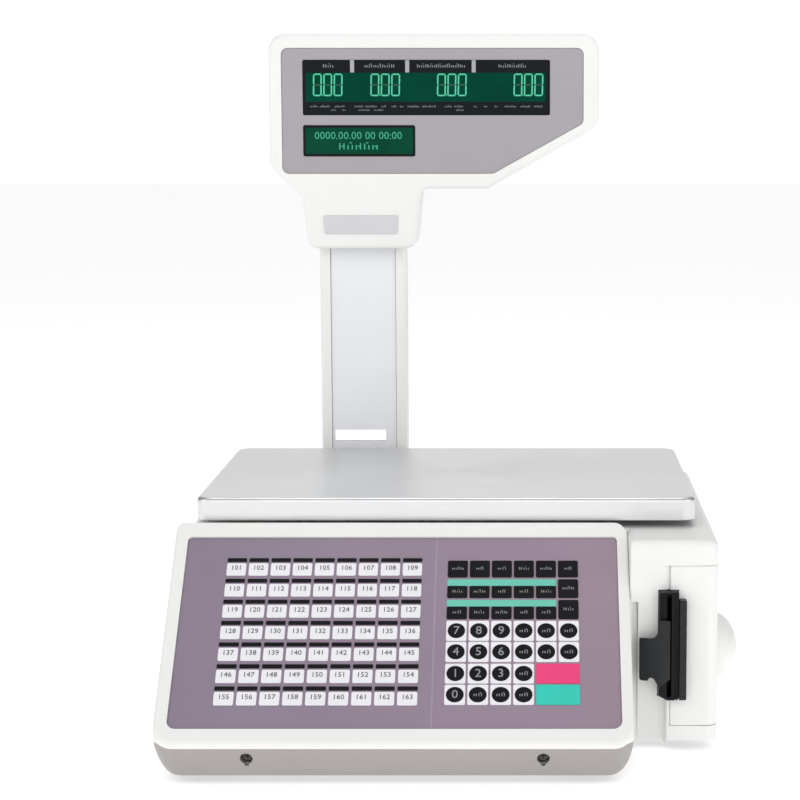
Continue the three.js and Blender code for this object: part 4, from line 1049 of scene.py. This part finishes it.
# %% Pole, strip and bracket
POLE = {"x": -83.6, "half": 34.0, "front": 172.5, "back": 202.5, "low": 45.0, "high": 331.0, "strip": 25.5}
SLOT = (-107.2, -66.6, 166.5, 175.4)


def slot_cutter():
    x0, x1, z0, z1 = SLOT
    return moulded("cutter", oblong(x0, x1, z0, z1, 1.2), 160.0, 185.0, "front")


def slot_way_out():
    """Behind the slot the rear wall is open further, so that the slot shows daylight from above."""
    x0, x1, z0, z1 = SLOT
    return moulded("cutter", oblong(x0 - 6, x1 + 2, z0 - 14, z1, 1.2), 184.0, 210.0, "front")


def pole_tube():
    p = POLE
    tube = moulded("pole_tube_extrusion",
                   oblong(p["x"] - p["half"], p["x"] + p["half"], p["front"], p["back"], 3.0),
                   p["low"], p["high"])
    hollow = moulded("cutter", oblong(p["x"] - p["half"] + 2.5, p["x"] + p["half"] - 2.5, p["front"] + 5.5,
                                      p["back"] - 2.5, 1.0), p["low"] - 1, p["high"] + 1)
    channel = block(p["x"] - p["strip"] - GAP, p["x"] + p["strip"] + GAP, p["front"] - 1, p["front"] + 3,
                    p["low"] - 1, p["high"] + 1)
    return smooth(cut(tube, hollow, channel, slot_cutter(), slot_way_out()))


def pole_strip():
    p = POLE
    film = moulded("pole_strip_film",
                   oblong(p["x"] - p["strip"], p["x"] + p["strip"], p["low"], p["high"], 0.5),
                   p["front"] + 1.5, p["front"] + 2.7, "front", low_edge=0.4, edge_steps=3)
    return smooth(cut(film, slot_cutter()))


def pole_bracket():
    p = POLE
    y0, y1 = 166.3, 198.0
    outer = moulded("pole_bracket_bend",
                    oblong(p["x"] - p["half"] - 6.5, p["x"] + p["half"] + 6.5, y0, y1, 1.5),
                    40.0, 125.0, low_edge=0.8, high_edge=0.8, edge_steps=3)
    room = block(p["x"] - p["half"] - GAP, p["x"] + p["half"] + GAP, y0 + 3, y1 + 2, 44.7, 130)
    return smooth(cut(outer, room))


dress(pole_tube(), "housing", "white_plastic", white_shell, "pole_tube")
dress(pole_strip(), "housing", "pole_film", pale_film, "pole_front_strip")
dress(pole_bracket(), "housing", "zinc_steel", zinc_plate, "pole_bracket")

# %% [markdown]
# Display head. Two white half shells meet in a parting line. Their outline is a wide box with a slanted lower
# right corner and a neck that closes round the pole. Both shells are the same outline pushed from the parting
# line to the front or the back, where the edge is rounded, then hollowed and opened for panel and windows.

# %% Head outlines
HEAD = {"front": 152.5, "split": 180.0, "back": 212.5}
HEAD_CORNERS = [
    (-124.6, 321.0, 8), (-41.0, 321.0, 8), (-36.6, 367.5, 6), (15.7, 367.5, 12), (101.3, 415.8, 12),
    (101.3, 486.3, 13), (-153.6, 486.3, 13), (-153.6, 383.5, 14), (-128.5, 359.0, 10)]
PANEL_CORNERS = [(-143.6, 379.3, 5), (19.6, 379.3, 5), (89.3, 418.0, 5), (89.3, 475.2, 5), (-143.6, 475.2, 5)]
WINDOW_MAIN = (-127.2, 63.4, 424.3, 466.2)
WINDOW_CLOCK = (-127.2, -40.9, 392.6, 416.2)


def window_cutter(window, y0=140.0, y1=230.0):
    x0, x1, z0, z1 = window
    return moulded("cutter", oblong(x0 - GAP, x1 + GAP, z0 - GAP, z1 + GAP, 1.5), y0, y1, "front")


def pole_room():
    p = POLE
    return block(p["x"] - p["half"] - GAP, p["x"] + p["half"] + GAP, p["front"] - GAP, p["back"] + GAP, 316,
                 332)


def shell_half(name, y0, y1, hollow_y0, hollow_y1, edges, pocket, windows):
    shell = moulded(name, HEAD_CORNERS, y0, y1, "front", steps=12, **edges)
    hollow = moulded("cutter", inset(HEAD_CORNERS, 2.5), hollow_y0, hollow_y1, "front", steps=8)
    sunk = moulded("cutter", inset(PANEL_CORNERS, -GAP), *pocket, "front", steps=8)
    reach_y = (y0 - 2, y0 + 8) if y0 < HEAD["split"] else (y1 - 8, y1 + 2)
    return smooth(cut(shell, hollow, pole_room(), sunk, *[window_cutter(w, *reach_y) for w in windows]))


front_shell = shell_half("head_front_moulding", HEAD["front"], HEAD["split"], HEAD["front"] + 4.5,
                         HEAD["split"] + 1, {"low_edge": 3.2, "high_edge": 0.5},
                         (HEAD["front"] - 1, HEAD["front"] + 1.9), [WINDOW_MAIN, WINDOW_CLOCK])
rear_shell = shell_half("head_rear_moulding", HEAD["split"] + GAP, HEAD["back"], HEAD["split"] - 1,
                        HEAD["back"] - 4.5, {"low_edge": 0.5, "high_edge": 3.2},
                        (HEAD["back"] - 1.9, HEAD["back"] + 1), [WINDOW_MAIN])
dress(front_shell, "housing", "white_plastic", white_shell, "head_front_shell")
dress(rear_shell, "housing", "white_plastic", white_shell, "head_rear_shell")


# %% Head panels
def head_panel(name, y0, y1, windows, front_facing):
    edge = {"low_edge": 0.3} if front_facing else {"high_edge": 0.3}
    panel = moulded(name, PANEL_CORNERS, y0, y1, "front", edge_steps=2, **edge)
    return smooth(cut(panel, *[window_cutter(w) for w in windows]))


dress(head_panel("head_front_film", HEAD["front"] + 0.6, HEAD["front"] + 1.6, [WINDOW_MAIN, WINDOW_CLOCK],
                 True),
      "housing", "panel_film", head_film, "head_front_panel")
dress(head_panel("head_rear_film", HEAD["back"] - 1.6, HEAD["back"] - 0.6, [WINDOW_MAIN], False),
      "housing", "panel_film", head_film, "head_rear_panel")
badge = moulded("blank_badge_plate", [(-111.2, 332.5, 0.6), (-55.2, 332.5, 0.6), (-54.6, 346.6, 0.6),
                                      (-112.6, 346.6, 0.6)], HEAD["front"] - 1.1, HEAD["front"] - GAP,
                                      "front",
                low_edge=0.3, edge_steps=2)
dress(smooth(badge), "housing", "silver_plate", badge_metal, "nameplate")

# %% [markdown]
# Display windows. Each window is a smoked lens in the head. Behind the lens the real scale has glowing tubes;
# here the printed mask, the dark green glass and the lit segments are thin layers stacked on the lens, which
# is how they read from outside. Digits are built from seven slim six-sided bars, and all show zero.

# %% Display finishes
lens_black = finish("smoked_lens", (0.008, 0.009, 0.010), 0.3, cloud=0.1, grain=0.02, Specular_IOR_Level=0.08)
display_green = finish("display_green", (0.0, 0.048, 0.028), 0.4, cloud=0.12, cloud_size=30.0, grain=0.02,
                       Specular_IOR_Level=0.03)
clock_green = finish("clock_green", (0.002, 0.058, 0.030), 0.4, cloud=0.12, cloud_size=20.0, grain=0.02,
                     Specular_IOR_Level=0.03)
lit_segment = finish("lit_segment", (0.05, 0.42, 0.26), 0.4, cloud=0.03, grain=0.02, Emission_Strength=0.22,
                     Emission_Color=(0.06, 0.62, 0.36, 1.0))
clock_segment = finish("clock_segment", (0.02, 0.30, 0.17), 0.4, cloud=0.03, grain=0.02,
                       Emission_Strength=0.12,
                       Emission_Color=(0.04, 0.55, 0.30, 1.0))
dim_segment = finish("dim_segment", (0.0, 0.065, 0.04), 0.4, cloud=0.03, grain=0.02)
mask_grey = finish("mask_grey", (0.36, 0.35, 0.38), 0.5, cloud=0.03, grain=0.02)


def face_front(piece, y):
    """Moves a piece drawn flat (x across, y up, z outwards) to stand facing the front at depth y."""
    piece.data.transform(Matrix.Translation((0, y * MM, 0)) @ Matrix.Rotation(math.pi / 2, 4, "X"))
    return piece


def on_glass(piece, y, ink):
    return dress(face_front(piece, y), "housing", "display_glass", ink)


# %% Seven-segment digits
DIGIT = {"width": 5.8, "height": 16.2, "bar": 1.1, "slant": 0.02}
SEGMENTS_OF_ZERO = "abcdef"


def digit_bars(x, y):
    """The seven bars of one digit whose lower left corner is at (x, y), as (name, start, end)."""
    w, h = DIGIT["width"], DIGIT["height"]
    return {"a": ((x, y + h), (x + w, y + h)), "b": ((x + w, y + h / 2), (x + w, y + h)),
            "c": ((x + w, y), (x + w, y + h / 2)), "d": ((x, y), (x + w, y)), "e": ((x, y), (x, y + h / 2)),
            "f": ((x, y + h / 2), (x, y + h)), "g": ((x, y + h / 2), (x + w, y + h / 2))}


def add_bar(work, start, end, thick, depth, base_y):
    """One six-sided bar between two points, its ends pointed so that neighbours mitre."""
    start, end = Vector(start), Vector(end)
    along = (end - start).normalized()
    side = Vector((-along.y, along.x)) * thick / 2
    start, end = start + along * thick * 0.12, end - along * thick * 0.12
    tip = along * thick / 2
    outline = [start, start + tip - side, end - tip - side, end, end - tip + side, start + tip + side]
    low = [work.verts.new(Vector((p.x + DIGIT["slant"] * (p.y - base_y), p.y, 0)) * MM) for p in outline]
    high = [work.verts.new(v.co + Vector((0, 0, depth * MM))) for v in low]
    for i in range(6):
        j = (i + 1) % 6
        work.faces.new((low[i], low[j], high[j], high[i]))
    work.faces.new(low)
    work.faces.new(high)


def main_digits():
    lit, dim = bmesh.new(), bmesh.new()
    step = 8.0
    low = 439.2
    for left in (-119.0, -74.6, -23.2, 35.9):
        for i in range(3):
            for name, (start, end) in digit_bars(left + i * step, low).items():
                add_bar(lit if name in SEGMENTS_OF_ZERO else dim, start, end, DIGIT["bar"], 0.1, low)
        dot = (left + DIGIT["width"] + 1.1, low - 0.6)
        add_bar(lit, dot, (dot[0], dot[1] + 1.5), 1.1, 0.1, low)
    return mesh_piece("main_lit_segments", lit), mesh_piece("main_dim_segments", dim)


# %% Main window
def window_layers():
    x0, x1, z0, z1 = WINDOW_MAIN
    y = HEAD["front"]
    lens = moulded("main_window_lens", oblong(x0, x1, z0, z1, 1.5), y + 0.4, y + 4, "front", low_edge=0.3,
                   edge_steps=2)
    dress(smooth(lens), "housing", "display_glass", lens_black, "window_main")
    glass = moulded("main_green_glass", oblong(x0 + 2.2, x1 - 3.2, 434.4, 456.6, 0.6), y + 0.3, y + 0.5,
                    "front")
    dress(smooth(glass), "housing", "display_glass", display_green)
    for piece, ink in zip(main_digits(), (lit_segment, dim_segment)):
        on_glass(piece, y + 0.3, ink)
    bars = [(x, 461.5, 3.1, 9.4) for x in (-89.0, -46.5, 4.8)]
    on_glass(printing("header_separators", [], bars), y + 0.4, mask_grey)
    headings = [(-107.5, 9.0), (-68.0, 24.0), (-20.5, 38.0), (34.5, 22.0)]
    small = [(-119, 6), (-110.5, 8), (-99, 8), (-84, 7), (-74.5, 9), (-65, 4), (-57, 4), (-51, 3), (-42, 9),
             (-30, 11), (-15, 6), (-7, 7), (6, 3), (14, 3), (22, 3), (33, 9), (44.5, 8), (54.5, 7)]
    lower = [(-104, 4), (-95.5, 3), (-80, 9), (-68.5, 7), (-6, 6)]
    legends = []
    for row, z, height in ((headings, 461.8, 2.6), (small, 430.8, 1.4), (lower, 428.0, 1.3)):
        for x, width in row:
            legends += scribble(x, z, width, height)
    on_glass(printing("window_legend_bars", [], legends, depth=0.08), y + 0.4, mark_light)


def clock_layers():
    x0, x1, z0, z1 = WINDOW_CLOCK
    y = HEAD["front"]
    lens = moulded("clock_window_lens", oblong(x0, x1, z0, z1, 1.2), y + 0.4, y + 4, "front", low_edge=0.3,
                   edge_steps=2)
    dress(smooth(lens), "housing", "display_glass", lens_black, "window_clock")
    glass = moulded("clock_green_glass", oblong(x0 + 1.6, x1 - 1.6, z0 + 1.8, z1 - 1.8, 0.5), y + 0.3,
                    y + 0.5,
                    "front")
    dress(smooth(glass), "housing", "display_glass", clock_green)
    words = [("0000.00.00 00 00:00", -84.7, 408.2, 5.8)]
    bars = scribble(-84.7, 400.2, 32.0, 4.8)
    on_glass(printing("clock_digits", words, bars, depth=0.1), y + 0.3, clock_segment)


window_layers()
clock_layers()

# %% Customer window at the back
def rear_window():
    x0, x1, z0, z1 = WINDOW_MAIN
    y = HEAD["back"]
    lens = moulded("rear_window_lens", oblong(x0, x1, z0, z1, 1.5), y - 4, y - 0.4, "front", high_edge=0.3,
                   edge_steps=2)
    dress(smooth(lens), "housing", "display_glass", lens_black, "window_rear")
    glass = moulded("rear_green_glass", oblong(x0 + 3.2, x1 - 2.2, 434.4, 456.6, 0.6), y - 0.5, y - 0.3,
                    "front")
    dress(smooth(glass), "housing", "display_glass", display_green)
    turn = Matrix.Translation((x0 * MM + x1 * MM, 0, 0)) @ Matrix.Rotation(math.pi, 4, "Z")
    for piece, ink, name in zip(main_digits(), (lit_segment, dim_segment), ("lit", "dim")):
        piece.name = f"rear_{name}_segments"
        face_front(piece, 0.0).data.transform(Matrix.Translation((0, (y - 0.3) * MM, 0)) @ turn)
        dress(piece, "housing", "display_glass", ink)


rear_window()

# %% [markdown]
# Small turned parts. Feet, pads, rollers, spools and the label roll are round, so each is its profile spun
# about its own axis. They replace the coarse CAD rounds one for one, and move with the same bodies.

# %% Feet, pads and vial
FEET = [(-160, -158), (85, -158), (-160, 140), (145, 140)]
FOOT_PROFILE = [(0, 0), (11.6, 0), (12.6, 0.4), (13.3, 1.2), (13.5, 2.2), (13.5, 4.6), (13.1, 5.6),
                (12.0, 6.9),
                (11.0, 7.4), (9.8, 7.6), (4, 7.6), (4, 17.4), (3.4, 18), (0, 18)]
for i, (x, y) in enumerate(FEET, start=1):
    node = f"levelling_foot_{i}"
    dress(smooth(turned(f"{node}_turned", x, y, FOOT_PROFILE)), node, "rubber", black_rubber, node)
PAD_SPREAD = (125, 78)
PAD_PROFILE = [(0, 156.3), (9, 156.3), (9, 160.2), (8.6, 161.2), (7.6, 162.3), (6.2, 162.8), (0, 162.8)]
for i, (sx, sy) in enumerate(((-1, -1), (1, -1), (-1, 1), (1, 1)), start=1):
    node = f"platter_pad_{i}"
    pad = turned(f"{node}_turned", PLATTER["x"] + sx * PAD_SPREAD[0],
                 PLATTER["y"] + sy * PAD_SPREAD[1], PAD_PROFILE)
    dress(smooth(pad), "housing", "rubber", black_rubber, node)
vial = turned("level_vial_turned", -150, -45, [(0, 140), (6.6, 140), (6.6, 144.3), (9, 144.3), (9, 147.4),
                                              (8.4, 148), (0, 148)])
dress(smooth(vial), "housing", "vial", vial_clear, "level_vial")

# %% Printer rollers, spools and roll
ROLL_AXIS = (114, 45)
roller = turned("platen_roller_turned", 135.2, -98, [(4.3, 38), (7.6, 38), (8, 38.4), (8, 105.6), (7.6, 106),
                                                     (4.3, 106)], closed=True)
dress(smooth(roller), "platen", "rubber", black_rubber, "platen_roller")
spool = turned("label_spool_turned", *ROLL_AXIS, [
    (5.5, 39), (43.6, 39), (44, 39.4), (44, 41.9), (43.6, 42.3), (19.4, 42.3), (19.4, 120.4), (18.8, 121),
    (5.5, 121)], closed=True)
dress(smooth(spool), "label_roll", "black_plastic", black_shell, "label_spool")
roll = turned("label_roll_turned", *ROLL_AXIS,
              [(19.8, 42.6), (45.8, 42.6), (46, 42.8), (46, 102.4), (45.8, 102.6),
                                             (19.8, 102.6)], sides=96, closed=True)
dress(smooth(roll), "label_roll", "label_paper", roll_paper, "label_roll")
flange = turned("roll_flange_turned", *ROLL_AXIS, [
    (19.8, 102.9), (32.7, 102.9), (33, 103.2), (33, 105.1), (32.7, 105.4), (24, 105.4), (24, 108.2),
    (23.6, 108.6),
    (19.8, 108.6)], closed=True)
dress(smooth(flange), "roll_flange", "black_plastic", black_shell, "roll_flange")
rewind = turned("rewind_spool_turned", 88, -48, [
    (4.5, 37.5), (19.7, 37.5), (20, 37.8), (20, 40.2), (19.7, 40.5), (11, 40.5), (11, 104), (19.7, 104),
    (20, 104.3), (20, 106.7), (19.7, 107), (4.5, 107)], closed=True)
dress(smooth(rewind), "rewind_spool", "black_plastic", black_shell, "rewind_spool")

# %% [markdown]
# Screws. Every screw is the same pan head with a cross slot, so one tree cuts the head and sets it on each
# point that it is given. The points are the vertices of a small carrier mesh.

# %% Screw heads
def screw_tree():
    tree, given, result = new_tree("screw_heads", [
        ("Radius", "NodeSocketFloat"), ("Height", "NodeSocketFloat"), ("Finish", "NodeSocketMaterial")], True)
    link = tree.links.new

    def times(label, factor):
        node = tree.nodes.new("ShaderNodeMath")
        node.operation = "MULTIPLY"
        node.inputs[1].default_value = factor
        link(given.outputs[label], node.inputs[0])
        return node.outputs["Value"]

    head = tree.nodes.new("GeometryNodeMeshCylinder")
    head.inputs["Vertices"].default_value = 28
    link(given.outputs["Radius"], head.inputs["Radius"])
    link(given.outputs["Height"], head.inputs["Depth"])
    arm = tree.nodes.new("ShaderNodeCombineXYZ")
    link(times("Radius", 1.25), arm.inputs["X"])
    link(times("Radius", 0.28), arm.inputs["Y"])
    link(given.outputs["Height"], arm.inputs["Z"])
    bar = tree.nodes.new("GeometryNodeMeshCube")
    link(arm.outputs["Vector"], bar.inputs["Size"])
    lift = tree.nodes.new("ShaderNodeCombineXYZ")
    link(times("Height", 0.55), lift.inputs["Z"])
    cross = tree.nodes.new("GeometryNodeMeshBoolean")
    cross.operation = "DIFFERENCE"
    link(head.outputs["Mesh"], cross.inputs["Mesh 1"])
    for turn in (0.0, math.pi / 2):
        placed = tree.nodes.new("GeometryNodeTransform")
        placed.inputs["Rotation"].default_value = (0.0, 0.0, turn)
        link(bar.outputs["Mesh"], placed.inputs["Geometry"])
        link(lift.outputs["Vector"], placed.inputs["Translation"])
        link(placed.outputs["Geometry"], cross.inputs["Mesh 2"])
    points = tree.nodes.new("GeometryNodeInstanceOnPoints")
    link(given.outputs["Geometry"], points.inputs["Points"])
    link(cross.outputs["Mesh"], points.inputs["Instance"])
    real = tree.nodes.new("GeometryNodeRealizeInstances")
    link(points.outputs["Instances"], real.inputs["Geometry"])
    painted = tree.nodes.new("GeometryNodeSetMaterial")
    link(real.outputs["Geometry"], painted.inputs["Geometry"])
    link(given.outputs["Finish"], painted.inputs["Material"])
    link(painted.outputs["Geometry"], result.inputs["Geometry"])
    return tree


SCREW_TREE = screw_tree()


def screws(name, spots, radius, height, facing, finish_used):
    """Screw heads at spots given flat (x, y) with z outwards, then turned by the matrix facing."""
    points = bpy.data.meshes.new(name)
    points.from_pydata([Vector((x, y, height / 2)) * MM for x, y in spots], [], [])
    piece = grown(name, SCREW_TREE, {"Radius": radius * MM, "Height": height * MM, "Finish": finish_used},
                  points)
    piece.data.transform(facing)
    return smooth(piece, edge=0.15)


front_facing = Matrix.Translation((0, (SCREW_SEAT - GAP) * MM, 0)) @ Matrix.Rotation(math.pi / 2, 4, "X")
# The front screw heads get the darkened zinc, painted shade of their deep holes.
for x, side in zip(SCREW_X, ("left", "right")):
    dress(screws(f"front_screw_{side}_head", [(x, SCREW_Z)], 3.2, 2.4, front_facing, screw_painted_shade), "housing",
          "zinc_steel", screw_painted_shade, f"front_screw_{side}")

# %% [markdown]
# Parts that keep their CAD shape. Brackets, boards, gears and the mechanism inside the printer bay are right
# as they are, so they only get their finishes.

# %% Finishes of the carried-over parts
KEPT = {
    zinc_plate: ["base_tray", "bay_wall", "printer_frame", "platen_shaft", "motor_pinion", "stepper_motor",
                 "print_head_arm", "spindle_plate", "door_hinge_pin", "power_supply", "network_port",
                 "serial_port"],
    cast_alloy: ["load_cell_stand", "load_cell", "spider_post", "platter_spider", "thermal_head"],
    green_board: ["keypad_board", "main_board", "display_board", "rear_display_board"],
    black_shell: ["power_inlet", "power_rocker"],
    natural_nylon: ["idler_gear"],
    blue_lever: ["head_lever"],
}
for material, nodes in KEPT.items():
    for node in nodes:
        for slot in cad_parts[node].material_slots:
            slot.material = material
print("kept CAD parts:", sum(len(nodes) for nodes in KEPT.values()))

# %% Update the scene
bpy.context.view_layer.update()
